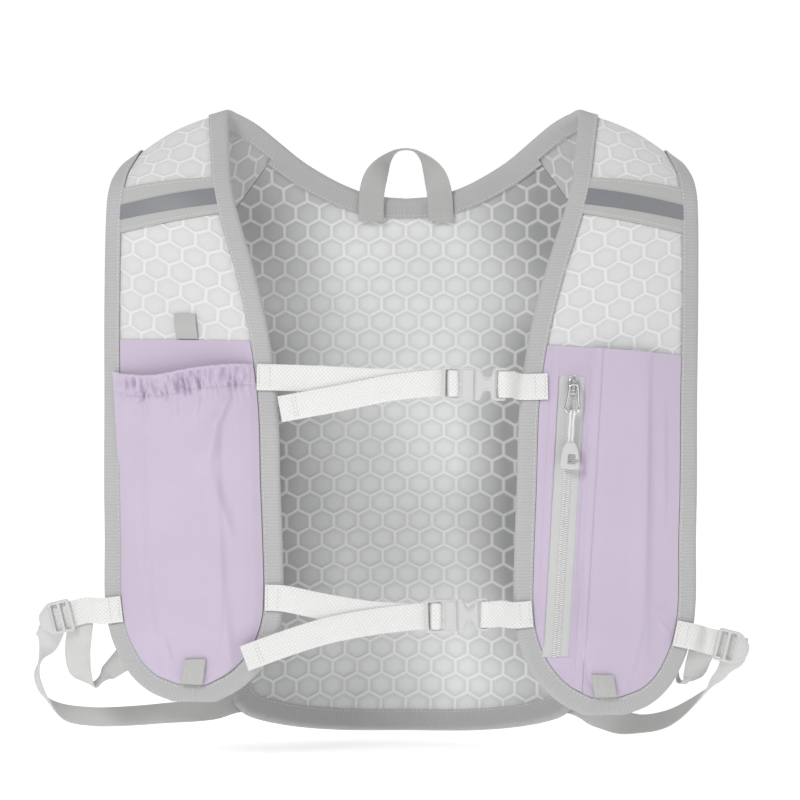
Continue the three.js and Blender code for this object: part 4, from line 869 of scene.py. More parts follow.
outer = tapeRing(tape["high"], tape["high"]) + tapeRing(tape["high"], -tape["high"])[::-1]
low = tape["high"] - tape["wall"]
inner = tapeRing(low, low) + tapeRing(low, -low)[::-1]
rings = np.stack(outer + inner[::-1], 1)
gone = np.concatenate(([0], np.cumsum(np.linalg.norm(np.diff(edge, axis=0, append=edge[:1]), axis=-1))))
half = np.linspace(0, vest["tapeWidth"] * 2.4, len(outer))
uv = np.stack(np.broadcast_arrays(np.concatenate((half, half[::-1]))[None, :], gone[:, None]), -1)
trim = loft("edge_tape_folded", rings, uv, look["tape"], closed=True)
place(trim, "tape", "edge_tape")
loop = np.append(np.arange(len(edge)), 0)
sewn = (inside + unit(edge - inside) * tape["stitchIn"])[loop]
for way in (1, -1):
    stitchAlong("edge_tape_folded", sewn + insideNormal[loop] * way * (tape["high"] + 0.05), insideNormal[loop] * way)
print("edge tape made, around", round(gone[-1]), "mm")

# ---- pocket cloth, its folds placed by height and by share across

creases = {
    # from and to: millimetres across and down; width, height and how sharp one flank is
    "flask": [
        ((-99, -152), (-108, -176), 4.0, 2.2), ((-106, -166), (-114, -205), 8.0, 2.6), ((-113, -196), (-98, -246), 7.0, 1.8),
        ((-117, -150), (-121, -170), 3.0, 0.9), ((-150, -156), (-152, -182), 3.0, 0.7), ((-133, -156), (-131, -174), 2.5, 0.6),
        ((-160, -185), (-146, -345), 9.0, 1.7), ((-108, -222), (-99, -345), 8.0, 1.5), ((-141, -300), (-137, -322), 3.5, 0.7),
    ],
    "zip": [
        ((163, -285), (151, -290), 1.7, 0.5), ((158, -293), (166, -303), 2.2, 0.35), ((148.5, -120), (149.5, -330), 8, 1.3),
        ((160, -150), (161, -240), 4, 0.5),
    ],
}


def creaseHeight(at, folds):
    total = np.zeros(at.shape[:-1])
    for (x0, z0), (x1, z1), width, height in folds:
        way = np.array((x1 - x0, z1 - z0), float)
        length = np.linalg.norm(way)
        way /= length
        dx, dz = at[..., 0] - x0, at[..., 2] - z0
        along = (dx * way[0] + dz * way[1]) / length
        off = dx * way[1] - dz * way[0]
        fade = np.clip(np.sin(np.pi * np.clip(along, 0, 1)), 0, 1)
        flank = np.where(off < 0, 0.4, 1.0) * width
        total += 1.7 * height * fade * np.exp(-(off / flank) ** 2)
    return total


def shareAt(rows, w, soft=0.0):
    places, rises = zip(*rows)
    if not soft:
        return np.interp(w, places, rises)
    return sum(np.interp(w + d * soft, places, rises) for d in (-1, -0.5, 0, 0.5, 1)) / 5


def footFade(u):
    return np.minimum(0.25 + u / vest["footRow"], 1)


def pocketGrid(side, innerDrop, outerDrop, down, across, foot=0.0):
    """rows from the foot up to a top that may slant, and even columns"""
    w = np.linspace(0, 1, across)[None, :]
    top = np.array([rowAtDrop(side, innerDrop + (outerDrop - innerDrop) * share) for share in w[0]])[None, :]
    share = np.linspace(0, 1, down)[:, None]
    u = foot + (top - foot) * share
    return u, np.broadcast_to(w, u.shape)


flask = {
    "profile": [(0, 0), (0.05, 0.35), (0.12, 0.62), (0.2, 0.78), (0.245, 0.8), (0.262, 0.98), (0.38, 1), (0.5, 1), (0.62, 1),
                (0.72, 0.98), (0.765, 0.95), (0.784, 0.76), (0.86, 0.6), (0.94, 0.34), (1, 0)],
    "base": 3.0, "puckers": 24, "puckerHeight": 0.95, "tucks": 34, "tuckDeep": (0.9, 2.1), "bulge": 0.045, "seed": 4,
}
u, w = pocketGrid(-1, vest["pocketTop"] + 1.5, vest["pocketTop"] + 1.5, 120, 40)
at, normal = pocketPlace(-1, u, w)
backing = slab("flask_pocket_lining", at, normal, vest["clothLift"], vest["clothLift"] + vest["clothThick"], gridUv(at), look["lilac"])
place(backing, "lilac", "flask_pocket_backing")
clothSheet(at)

w = np.linspace(0, 1, 190)[None, :]
mouthDrop = np.interp(w, (0, 0.14, 0.28, 0.43, 0.57, 0.68, 0.79, 0.93, 1), (137.2, 137.7, 138.9, 140.7, 143.1, 144.8, 145.4, 144.4, 143))
mouthRow = np.array([rowAtDrop(-1, drop) for drop in mouthDrop[0]])[None, :]
share = np.concatenate((np.linspace(0, 0.86, 150, endpoint=False), np.linspace(0.86, 1, 70)))[:, None]
u = mouthRow * share
w = np.broadcast_to(w, u.shape)
below = np.interp(u, lengthRows, lengthAt)
below = below[-1:, :] - below
over = np.clip(1 - below / 58, 0, 1) ** 0.6 * np.clip((w - 0.86) / 0.14, 0, 1)
at, normal = pocketPlace(-1, u, w + flask["bulge"] * over)
chance = np.random.default_rng(flask["seed"])
turns = chance.uniform(0, 2 * np.pi, 6)
waves = sum(np.sin(2 * np.pi * w * flask["puckers"] * k + turns[n] + 1.3 * np.sin(below / 3.1 + 6 * w * k))
            for n, k in enumerate((0.55, 0.8, 1.0, 1.27))) / 2.2
hem = np.exp(-((below - 6.5) / 5.5) ** 2) * np.clip(below / 1.6, 0, 1)
tuck = np.exp(-((below - 12.2) / 0.9) ** 2)
lower = np.exp(-np.clip(below - 12, 0, None) / 7.5) * (below > 12)
wide = np.linalg.norm(at[-1, -1] - at[-1, 0])
tucks = np.zeros(w.shape)
for k in range(flask["tucks"]):
    start, lean, deep = chance.uniform(0.03, 0.97) * wide, chance.normal(0, 0.35), chance.uniform(*flask["tuckDeep"])
    middle, half, narrow = chance.uniform(4, 12), chance.uniform(3, 7), chance.uniform(0.7, 1.3)
    near = np.exp(-((w * wide - start - lean * (below - 6)) / narrow) ** 2) * np.exp(-((below - middle) / half) ** 4)
    tucks -= deep * near * np.clip(below / 2.5, 0, 1)
edgeFade = np.clip(np.minimum(w, 1 - w) / 0.03, 0, 1)
swell = shareAt(flask["profile"], w, 0.012) * footFade(u) ** 1.5 * vest["pouchSwell"]
height = flask["base"] + swell + edgeFade * (
    waves * flask["puckerHeight"] * (hem + 0.55 * lower) + tucks - 0.9 * tuck + 0.5 * np.exp(-((below - 1.0) / 0.9) ** 2)
) + creaseHeight(at, creases["flask"]) * edgeFade + 1.1 * over
thick = vest["clothThick"] * (1 + 1.0 * (below < 1.8))
uv = gridUv(at)
pouch = slab("flask_pouch", at, normal, height, height + thick, uv, look["lilac"], sharp=70)
place(pouch, "lilac", "flask_pocket")
clothSheet(at)
inHem = int(np.argmin(np.abs(below[:, 95] - 12.2)))
sewnRow = at[inHem] + normal[inHem] * (height + thick)[inHem][:, None]
stitchAlong("flask_pouch", sewnRow[4:-4], normal[inHem][4:-4], step=2.3, length=1.6)

zipped = {
    "top": 125.5, "slant": 7, "swell": 4.0, "tape": 16.6, "tapeThick": 0.6, "window": 7.7,
    "profile": [(0, 0), (0.318, 0.05), (0.345, 0.75), (0.45, 1), (0.6, 1), (0.75, 0.85), (0.782, 0.6), (0.9, 0.3), (1, 0)],
}
zipTop, zipFoot = np.array((0.583 * 180, -0.421 * 345)), np.array((0.53 * 180, -0.912 * 345))


def zipOffset(at):
    """distance across from the middle of the zip, and the share of its length"""
    share = (at[..., 2] - zipTop[1]) / (zipFoot[1] - zipTop[1])
    return at[..., 0] - (zipTop[0] + (zipFoot[0] - zipTop[0]) * share), share


def zipShareAt(u, offset):
    w = np.full(np.broadcast(u, offset).shape, 0.2)
    for _ in range(8):
        start, end = (pocketPlace(1, u, np.full(w.shape, edge))[0] for edge in (0.0, 1.0))
        at = pocketPlace(1, u, w)[0]
        share = (at[..., 2] - zipTop[1]) / (zipFoot[1] - zipTop[1])
        x = zipTop[0] + (zipFoot[0] - zipTop[0]) * share + offset
        w = (x - start[..., 0]) / (end[..., 0] - start[..., 0])
    return w


def zipPanel(u, w):
    return vest["clothLift"] + zipped["swell"] * shareAt(zipped["profile"], w, 0.008) * footFade(u)


def spreadStep(value, low, high):
    t = np.clip((value - low) / (high - low), 0, 1)
    return t * t * (3 - 2 * t)


u, w = pocketGrid(1, zipped["top"], zipped["top"] + zipped["slant"], 250, 180)
at, normal = pocketPlace(1, u, w)
offset, share = zipOffset(at)
inLength = np.clip((share + 0.006) / 0.006, 0, 1) * np.clip((1.003 - share) / 0.004, 0, 1)
inside = np.clip((zipped["window"] + 0.5 - np.abs(offset)) / 0.5, 0, 1) * inLength
beside = np.exp(-np.clip(np.abs(offset) - zipped["window"], 0, None) / 5.0)
lengthFade = np.clip((share + 0.05) / 0.05, 0, 1) * np.clip((1.04 - share) / 0.04, 0, 1)
welt = 1.5 * beside * lengthFade * (1 - inside) + 0.25 * np.exp(-((np.abs(offset) - zipped["window"] - 1.2) / 0.8) ** 2)
seam = 0.8 * (1 - spreadStep(offset, 17.0, 18.0)) * spreadStep(offset, 9, 16) - 0.45 * (np.exp(-((offset - 12.2) / 0.45) ** 2) + 1.3 * np.exp(-((offset - 17.4) / 0.5) ** 2) + 0.7 * np.exp(-((offset + 12.2) / 0.45) ** 2))
edgeFade = np.clip(np.minimum(w, 1 - w) / 0.03, 0, 1)
height = zipPanel(u, w) + edgeFade * (welt + seam + creaseHeight(at, creases["zip"]))
panel = slab("zip_pocket_cloth", at, normal, height, height + vest["clothThick"], gridUv(at), look["lilac"], sharp=55)
place(panel, "lilac", "zip_pocket")
clothSheet(at)

footU, topU = rowAtDrop(1, -zipFoot[1]), rowAtDrop(1, -zipTop[1])
u = np.linspace(rowFurther(footU, -5), topU + 0.02, 160)[:, None]
offset = np.linspace(-zipped["tape"] / 2, zipped["tape"] / 2, 13)[None, :]
w = zipShareAt(u, offset)
u = np.broadcast_to(u, w.shape)
at, normal = pocketPlace(1, u, w)
onCloth = zipPanel(u, np.broadcast_to(w[:, 6:7], w.shape)) + vest["clothThick"]
dip = 0.5 * (np.abs(offset) > 7.4)
zipLow = onCloth + 0.2 - dip
strip = slab("zip_tape_woven", at, normal, zipLow, zipLow + zipped["tapeThick"], gridUv(at), look["zipTape"])
place(strip, "webbing", "zip_tape")
middle = at[:, 6] + normal[:, 6] * (onCloth[:, 6] + 0.3 + zipped["tapeThick"])[:, None]
spots, facing = resample(middle, 1.35, normal[:, 6])
along = unit(np.gradient(spots, axis=0))
across = unit(np.cross(along, facing))
facing, teeth = unit(facing), []
rows = []
for k, way in ((0, -1), (1, 1)):
    shift = spots + along * 0.68 * k
    rows.append((shift + across * way * 1.15 + facing * 0.25, across, facing))
at, along2, facing2 = (np.concatenate([row[k] for row in rows]) for k in range(3))
coil = scatter("zip_teeth", at, along2, facing2, (2.9, 1.05, 0.8), look["cord"])
place(coil, "webbing", "zip_coil")
print("pockets made")

# ---- tabs, shoulder bands and their reflective stripes


def stripAcross(side, u, low, high):
    """a strip whose edges lie at heights given for its inner and its outer end"""
    across = np.linspace(-0.015, 1.015, 40)
    rows = np.array([[rowFurther(u, (1 - t) * np.interp(w, (0, 1), low) + t * np.interp(w, (0, 1), high)) for w in across]
                     for t in np.linspace(0, 1, 15)])
    return pocketPlace(side, rows, np.broadcast_to(across, rows.shape))


band = {"row": 11.6, "cloth": ((-10.3, -22.5), (13, 9.5)), "film": ((-4.4, -13.5), (5.8, -3.5)), "lift": 2.1, "thick": 0.7}
for side in (-1, 1):
    name = outAt[side]
    at, normal = stripAcross(side, band["row"], *band["cloth"])
    cloth = slab(f"shoulder_band_woven_{name}", at, normal, band["lift"], band["lift"] + band["thick"], gridUv(at), look["band"])
    place(cloth, "band", f"shoulder_band_{name}")
    clothSheet(at)
    for row in (1, -2):
        stitchAlong(f"shoulder_band_{name}", at[row] + normal[row] * (band["lift"] + band["thick"] + 0.05), normal[row], step=2.4, length=1.7)
    at, normal = stripAcross(side, band["row"], *band["film"])
    low = band["lift"] + band["thick"] + 0.1
    film = slab(f"reflective_film_{name}", at, normal, low, low + 0.45, gridUv(at), look["stripe"])
    place(film, "stripe", f"reflective_stripe_{name}")
    float(np.ptp(gridUv(at)[..., 0], axis=1).max()) * mm


def foldedTab(name, node, side, drop, w, height, size=(13, 15.5), fold=0.9):
    """a folded webbing tab that stands along the strap, thickest in its middle"""
    middle = rowAtDrop(side, drop)
    run = np.linspace(-size[1] / 2, size[1] / 2, 24)
    rows = np.array([rowFurther(middle, d) for d in run])[:, None]
    start, end = (pocketPlace(side, rows, np.full((24, 1), edge))[0] for edge in (0.0, 1.0))
    width = np.linalg.norm(end - start, axis=-1)
    columns = w + np.linspace(-0.5, 0.5, 13)[None, :] * size[0] / width
    at, normal = pocketPlace(side, rows, columns)
    swell = np.sin(np.pi * (run + size[1] / 2) / size[1])[:, None] * fold
    low = height(rows, columns) + 0.4 + swell * 0.3
    ridges = 0.18 * np.cos(np.linspace(-1, 1, 13) * np.pi * 2.5)[None, :]
    tab = slab(name, at, normal, low, low + 1.5 + swell + ridges, gridUv(at), look["band"])
    place(tab, "grey_webbing", node)


foldedTab("top_tab_webbing", "top_tab", -1, vest["pocketTop"] - 6.6, 0.465, lambda u, w: 1.5 + 0 * w, (13.5, 15.5))
foldedTab("left_foot_tab_webbing", "left_foot_tab", -1, 0.963 * 345, 0.45,
          lambda u, w: flask["base"] + 0.8 + vest["pouchSwell"] * shareAt(flask["profile"], w) * footFade(u) ** 1.5, (13.4, 21))
foldedTab("right_foot_tab_webbing", "right_foot_tab", 1, 0.99 * 345, 0.46, lambda u, w: zipPanel(u, w) + 0.8, (13.4, 20))
print("bands and tabs made")

# ---- webbing, through the rows of its solids


def webbing(name, rows, ways, finish, node, perRow=10, width=None, thick=None, lanes=9):
    """a woven ribbon with rounded selvedges; returns its middle line, its ways and its rows"""
    width, thick = width or vest["webWidth"], thick or vest["webThick"]
    place1 = np.linspace(0, len(rows) - 1, (len(rows) - 1) * perRow + 1)
    at = centripetal(np.asarray(rows, float), place1)
    tangent = unit(np.gradient(at, axis=0))
    across = spline(unit(np.asarray(ways, float)), place1)
    across = unit(across - tangent * np.einsum("ij,ij->i", across, tangent)[:, None])
    normal = unit(np.cross(tangent, across))
    x = np.linspace(-1, 1, lanes)
    half = thick / 2 * np.where(np.abs(x) > 0.99, 0.35, 1.0)
    corners = [(p * width / 2, h) for p, h in zip(x, half)] + [(p * width / 2, -h) for p, h in zip(x[::-1], half[::-1])]
    rings = np.stack([at + across * a + normal * h for a, h in corners], 1)
    gone = np.concatenate(([0], np.cumsum(np.linalg.norm(np.diff(at, axis=0), axis=-1))))
    uv = points(np.array([a for a, _ in corners])[None, :], gone[:, None])
    ribbon = loft(name, rings, uv, look[finish[0]], sharp=60)
    place(ribbon, finish[1], node)
    return at, across, normal, gone


def barStitches(owner, web, distances, side=1, inset=1.6, thick=None):
    """rows of stitches across a ribbon at distances from its start, on one face"""
    at, across, normal, gone = web
    for d in distances:
        d = gone[-1] + d if d < 0 else d
        middle, way, up = (np.array([np.interp(d, gone, item[:, axis]) for axis in range(3)]) for item in (at, across, normal))
        reach = np.linspace(-vest["webWidth"] / 2 + inset, vest["webWidth"] / 2 - inset, 12)[:, None]
        path = middle + way * reach + up * side * ((thick or vest["webThick"]) / 2 + 0.08)
        stitchAlong(owner, path, np.broadcast_to(up * side, path.shape).copy(), step=2.0, length=1.5)


def overTape(side, edge, u, distance):
    share = shareIn(side, edge, u, max(distance, 0))
    normal = strapNormal(side, np.array(u), share if edge == "inner" else 1 - share)
    at = insetPoint(side, edge, u, distance) + normal * 4.42
    return at, rail(side, edge, u + 0.1) - rail(side, edge, u - 0.1)


up = (0, 0, 1)
loopRows = [(0.178, -0.138, 0), (0.176, -0.108, 0), (0.168, -0.082, 0.1), (0.142, -0.056, 0.35), (0.092, -0.031, 0.7),
            (0.038, -0.018, 0.94)]
rows, ways = [], []
for side in (-1, 1):
    leg = []
    for x, z, turn in loopRows:
        at = onBack(side * x * 124, z * 373.5)
        at[1] = onBack(side * x * 124, min(z, -0.082) * 373.5)[1] - 1.3 * 4.3
        leg.append((at, (-side * math.cos(turn * math.pi / 2), math.sin(turn * math.pi / 2), 0)))
    for at, way in leg if side < 0 else leg[::-1]:
        rows.append(at)
        ways.append(way)
web = webbing("carry_loop_webbing", rows, ways, ("band", "grey_webbing"), "carry_loop", perRow=14)
barStitches("carry_loop", web, (2.2, 4.6, -2.2, -4.6), side=1)
barStitches("carry_loop", web, (2.2, 4.6, -2.2, -4.6), side=-1)

chest = {"front": -91.5, "bar": 2.0, "slot": 3.8, "thick": 3.0, "behind": 2.5, "height": 20.0}
adjuster = 2 * chest["slot"] + 2 * chest["bar"]
socketEnd = adjuster + 8 + 0.3 + 3 + 9 + chest["slot"] + 1.5 * chest["bar"]
straps = [
    {"name": "upper", "tilt": -0.02, "plug": (0.149, -0.4275), "left": 0.4205, "main": [(-0.26, -0.4212), (-0.06, -0.4262)],
     "tail": [(-0.02, -0.4362), (-0.2, -0.455), (-0.347, -0.4695), (-0.4, -0.4745)], "lift": (0, 0.35, 0, -0.3),
     "right": 0.436, "reach": 14},
    {"name": "lower", "tilt": 0.04, "plug": (0.092, -0.8395), "left": 0.809, "main": [(-0.26, -0.823), (-0.07, -0.838)],
     "tail": [(-0.07, -0.849), (-0.226, -0.864), (-0.38, -0.888), (-0.52, -0.9145)], "lift": (0, 0.35, 2.1, 3.9),
     "right": 0.8375, "reach": 9},
]
for strap in straps:
    x0, z0 = strap["plug"][0] * 180, strap["plug"][1] * 345
    cos, sin = math.cos(strap["tilt"]), math.sin(strap["tilt"])

    def along(distance, depth):
        return (x0 + distance * cos, chest["front"] + depth, z0 + distance * sin)

    behind = chest["behind"]
    loose = behind + vest["webThick"] + 0.51
    nearSlot, farSlot = chest["bar"] + chest["slot"] / 2, adjuster - chest["slot"] / 2
    middle, slant = chest["bar"] * 1.5 + chest["slot"], chest["slot"] * 0.29
    path = [(x * 180, chest["front"] + loose, z * 345) for x, z in strap["main"]]
    path += [along(chest["bar"] / 2, loose), along(middle - chest["bar"], loose), along(farSlot - slant, behind), along(farSlot, 0),
             along(farSlot - slant, -behind), along(middle, -behind - 0.1), along(nearSlot + slant, -behind * 0.9),
             along(nearSlot, 0), along(nearSlot - slant, behind * 0.9), along(chest["bar"] / 2, behind + 0.1),
             along(-chest["bar"], behind + 0.1)]
    path += [(x * 180, chest["front"] + behind - lift * vest["webThick"], z * 345) for (x, z), lift in zip(strap["tail"], strap["lift"])]
    row = rowAtDrop(-1, strap["left"] * 345)
    sewnAt = [overTape(-1, "inner", row, d) for d in (9, -2)]
    web = webbing(f"{strap['name']}_chest_webbing", [p for p, _ in sewnAt] + path, [w for _, w in sewnAt] + [up] * len(path),
                  ("webbing", "webbing"), f"{strap['name']}_chest_strap")
    faces = -np.sign(web[2][0][1])
    barStitches(f"{strap['name']}_chest", web, (1.6, 8.2), side=faces)
    faces = -np.sign(web[2][-1][1])
    barStitches(f"{strap['name']}_chest", web, (-8.5, -10.5), side=faces)

    row = rowAtDrop(1, strap["right"] * 345)
    bar, slot = socketEnd - chest["bar"] / 2, socketEnd - chest["bar"] - chest["slot"] / 2 - 0.3
    run = rail(1, "inner", row)[0] - x0 - socketEnd - 2
    sewnAt = [overTape(1, "inner", row, d) for d in (-2, strap["reach"])]
    fall = sewnAt[0][0][1] - chest["front"] + behind
    apart = (vest["webThick"] + 0.6) * math.hypot(1, 1.1 * fall / run)

    def toPanel(share, back=0.0):
        return along(socketEnd + run * share, fall * share**1.4 - behind + back)

    path = [toPanel(s, apart) for s in (0.65, 0.4)]
    path += [along(socketEnd + 0.3, behind + 0.1), along(bar, behind + 0.1), along(slot + 0.3, behind * 0.65), along(slot, 0), along(slot + 0.3, -behind * 0.65),
             along(bar, -behind - 0.1), toPanel(0.18), toPanel(0.45)]
    web = webbing(f"{strap['name']}_anchor_webbing", path + [p for p, _ in sewnAt], [up] * len(path) + [w for _, w in sewnAt],
                  ("webbing", "webbing"), f"{strap['name']}_chest_anchor")
    barStitches(f"{strap['name']}_chest", web, (-1.6, -7.5), side=-np.sign(web[2][-1][1]))
print("chest straps made")

sideStraps = [
    {"name": "left", "side": -1, "anchor": 0.838, "lock": (1.158, -0.74, -0.85, 0.24),
     "strap": [(1.178, -0.658, -0.845, 1, 0, -0.3), (1.2, -0.645, -0.881, 0.85, 0.2, -0.4),
               (1.23, -0.56, -0.911, 0.5, 0.8, -0.3), (1.246, -0.52, -0.941, 0.1, 1, 0), (1.251, -0.46, -0.973, 0.4, 0.9, 0.2),
               (1.23, -0.38, -1.006, 0.5, 0.75, 0.4), (1.179, -0.28, -1.033, 0.3, 0.75, 0.6),
               (1.093, -0.165, -1.045, 0.1, 0.78, 0.62), (0.999, -0.071, -1.048, 0, 0.78, 0.62),
               (0.841, 0.08, -1.046, 0, 0.75, 0.66), (0.66, 0.25, -1.041, 0, 0.65, 0.76)],
     "tail": [(1.092, -0.68, -0.845, 1, 0, 0.1), (1.1, -0.672, -0.885, 1, 0, 0.1), (1.11, -0.575, -0.92, 1, 0.1, 0),
              (1.1, -0.55, -0.955, 0.8, 0.5, -0.2), (1.06, -0.5, -0.978, 0.1, 1, 0.1), (1.012, -0.47, -0.958, -0.4, 0.5, 0.7),
              (0.95, -0.45, -0.93, -0.5, 0.2, 0.8)]},
    {"name": "right", "side": 1, "anchor": 0.88, "lock": (1.114, -0.74, -0.898, -0.24),
     "strap": [(1.145, -0.635, -0.885, 0.9, 0, 0.45), (1.135, -0.61, -0.925, 0.9, 0.1, 0.4),
               (1.095, -0.56, -0.955, 0.8, 0.3, 0.5), (1.061, -0.518, -0.978, 0.7, 0.4, 0.6),
               (0.969, -0.365, -1.024, 0.4, 0.6, 0.7), (0.903, -0.259, -1.045, 0.2, 0.75, 0.66),
               (0.802, -0.141, -1.056, 0.1, 0.78, 0.6), (0.71, 0.14, -1.053, 0, 0.7, 0.7), (0.655, 0.25, -1.046, 0, 0.65, 0.76)],
     "tail": [(1.045, -0.683, -0.885, 1, 0, 0.1), (1.02, -0.655, -0.925, 0.9, 0.2, 0.1), (1.0, -0.565, -0.958, 0.7, 0.6, 0),
              (0.965, -0.53, -0.968, 0, 1, 0), (0.94, -0.49, -0.95, -0.4, 0.6, 0.5), (0.9, -0.46, -0.925, -0.5, 0.3, 0.7)]},
]
for item in sideStraps:
    side, name = item["side"], item["name"]
    scale = np.array((side * 180, 85, 345))
    x, y, z, turn = item["lock"]
    centre = np.array((x, y, z)) * scale
    edge = (3 * chest["bar"] + 2 * chest["slot"]) / 2
    tilted = (-math.sin(turn), 0, math.cos(turn))
    row = rowAtDrop(side, item["anchor"] * 345, "outer")
    sewnAt = [overTape(side, "outer", row, d) for d in (10, -3)]
    held = [centre + (side * d * math.cos(turn), chest["behind"], side * d * math.sin(turn))
            for d in (-edge - 9, -edge, edge - 1)]
    web = webbing(f"side_webbing_{name}", [p for p, _ in sewnAt] + held, [w for _, w in sewnAt] + [tilted] * 3,
                  ("webbing", "webbing"), f"side_web_{name}")
    barStitches(f"side_web_{name}", web, (1.6, 7.5), side=-np.sign(web[2][0][1]))
    for part in ("strap", "tail"):
        rows = [np.array(place1[:3]) * scale for place1 in item[part]]
        ways = [(side * place1[3], *place1[4:]) for place1 in item[part]]
        if part == "strap":
            for x, out in ((0.83, 0.8), (0.77, 0)):
                foot = onBack(side * x * 124, -0.943 * 373.5)
                rows.append(foot + backNormal(foot[0], foot[2]) * (4.42 + out))
                ways.append(onBack(foot[0], foot[2] + 1) - foot)
        web = webbing(f"side_{part}_webbing_{name}", rows, ways, ("greyWebbing", "grey_webbing"), f"side_{part}_{name}", perRow=12)
        if part == "tail":
            barStitches(f"side_tail_{name}", web, (-3, -5), side=1)
            barStitches(f"side_tail_{name}", web, (-3, -5), side=-1)
print("side straps made")

# ---- moulded plastic and chrome


def rounded(corners, steps=5):
    """outline points from corners of (x, y, radius)"""
    path = np.array([corner[:2] for corner in corners], float)
    out = []
    for k, (x, y, radius) in enumerate(corners):
        back, ahead = path[k - 1] - path[k], path[(k + 1) % len(path)] - path[k]
        reach = min(radius, np.linalg.norm(back) * 0.49, np.linalg.norm(ahead) * 0.49)
        start, end = path[k] + unit(back) * reach, path[k] + unit(ahead) * reach
        for t in np.linspace(0, 1, steps if reach > 0.05 else 1):
            out.append((1 - t) ** 2 * start + 2 * t * (1 - t) * path[k] + t**2 * end)
    return np.array(out)


def boxOutline(x0, x1, y0, y1, radius):
    return rounded([(x0, y0, radius), (x1, y0, radius), (x1, y1, radius), (x0, y1, radius)])


def moulded(name, outlines, thick, lay, material, bevel=0.45, lift=0.0):
    """a flat moulding with rounded edges from an outline and its holes; lay places it"""
    curve = bpy.data.curves.new(name, "CURVE")
    curve.dimensions, curve.fill_mode = "2D", "BOTH"
    curve.extrude, curve.bevel_depth, curve.bevel_resolution = (thick / 2 - bevel) * mm, bevel * mm, 3
    curve.offset = -bevel * mm
    for outline in outlines:
        run = curve.splines.new("POLY")
        run.points.add(len(outline) - 1)
        for point, (x, y) in zip(run.points, outline):
            point.co = (x * mm, y * mm, 0, 1)
        run.use_cyclic_u = True
    rough = bpy.data.objects.new(name, curve)
    bpy.context.scene.collection.objects.link(rough)
    mesh = bpy.data.meshes.new_from_object(rough.evaluated_get(bpy.context.evaluated_depsgraph_get()))
    bpy.data.objects.remove(rough)
    bm = bmesh.new()
    bm.from_mesh(mesh)
    bmesh.ops.remove_doubles(bm, verts=bm.verts, dist=0.000002)
    bmesh.ops.translate(bm, verts=bm.verts, vec=(0, 0, lift * mm))
    bmesh.ops.transform(bm, matrix=lay, verts=bm.verts)
    bmesh.ops.recalc_face_normals(bm, faces=bm.faces)
    bm.to_mesh(mesh)
    bm.free()
    mesh.materials.clear()
    mesh.materials.append(material)
    mesh.shade_smooth()
    mesh.set_sharp_from_angle(angle=math.radians(32))
    thing = bpy.data.objects.new(name, mesh)
    bpy.context.scene.collection.objects.link(thing)
    return thing


def wire(name, path, radius, material, closed=False, sides=12):
    """a round wire or cord through points"""
    path = np.asarray(path, float)
    ahead = np.roll(path, -1, 0) - np.roll(path, 1, 0) if closed else np.gradient(path, axis=0)
    along = unit(ahead)
    out = unit(np.cross(along, np.broadcast_to((0.1, -1, 0.05), path.shape)))
    side = np.cross(along, out)
    turn = np.linspace(0, 2 * math.pi, sides, endpoint=False)
    rings = path[:, None] + radius * (np.cos(turn)[None, :, None] * out[:, None] + np.sin(turn)[None, :, None] * side[:, None])
    gone = np.concatenate(([0], np.cumsum(np.linalg.norm(np.diff(path, axis=0, append=path[:1]), axis=-1))))
    uv = points((turn * radius)[None, :], gone[: len(path) + (1 if closed else 0), None])
    return loft(name, rings, uv, material, closed=closed, sharp=80)


def join(name, things):
    """several mouldings of one part as one piece"""
    first = things[0]
    with bpy.context.temp_override(active_object=first, selected_editable_objects=things):
        bpy.ops.object.join()
    first.name = name
    return first


def faceViewer(x, y, z, turn):
    return (Matrix.Translation((x * mm, y * mm, z * mm)) @ Matrix.Rotation(math.pi / 2, 4, "X")
            @ Matrix.Rotation(turn, 4, "Z"))


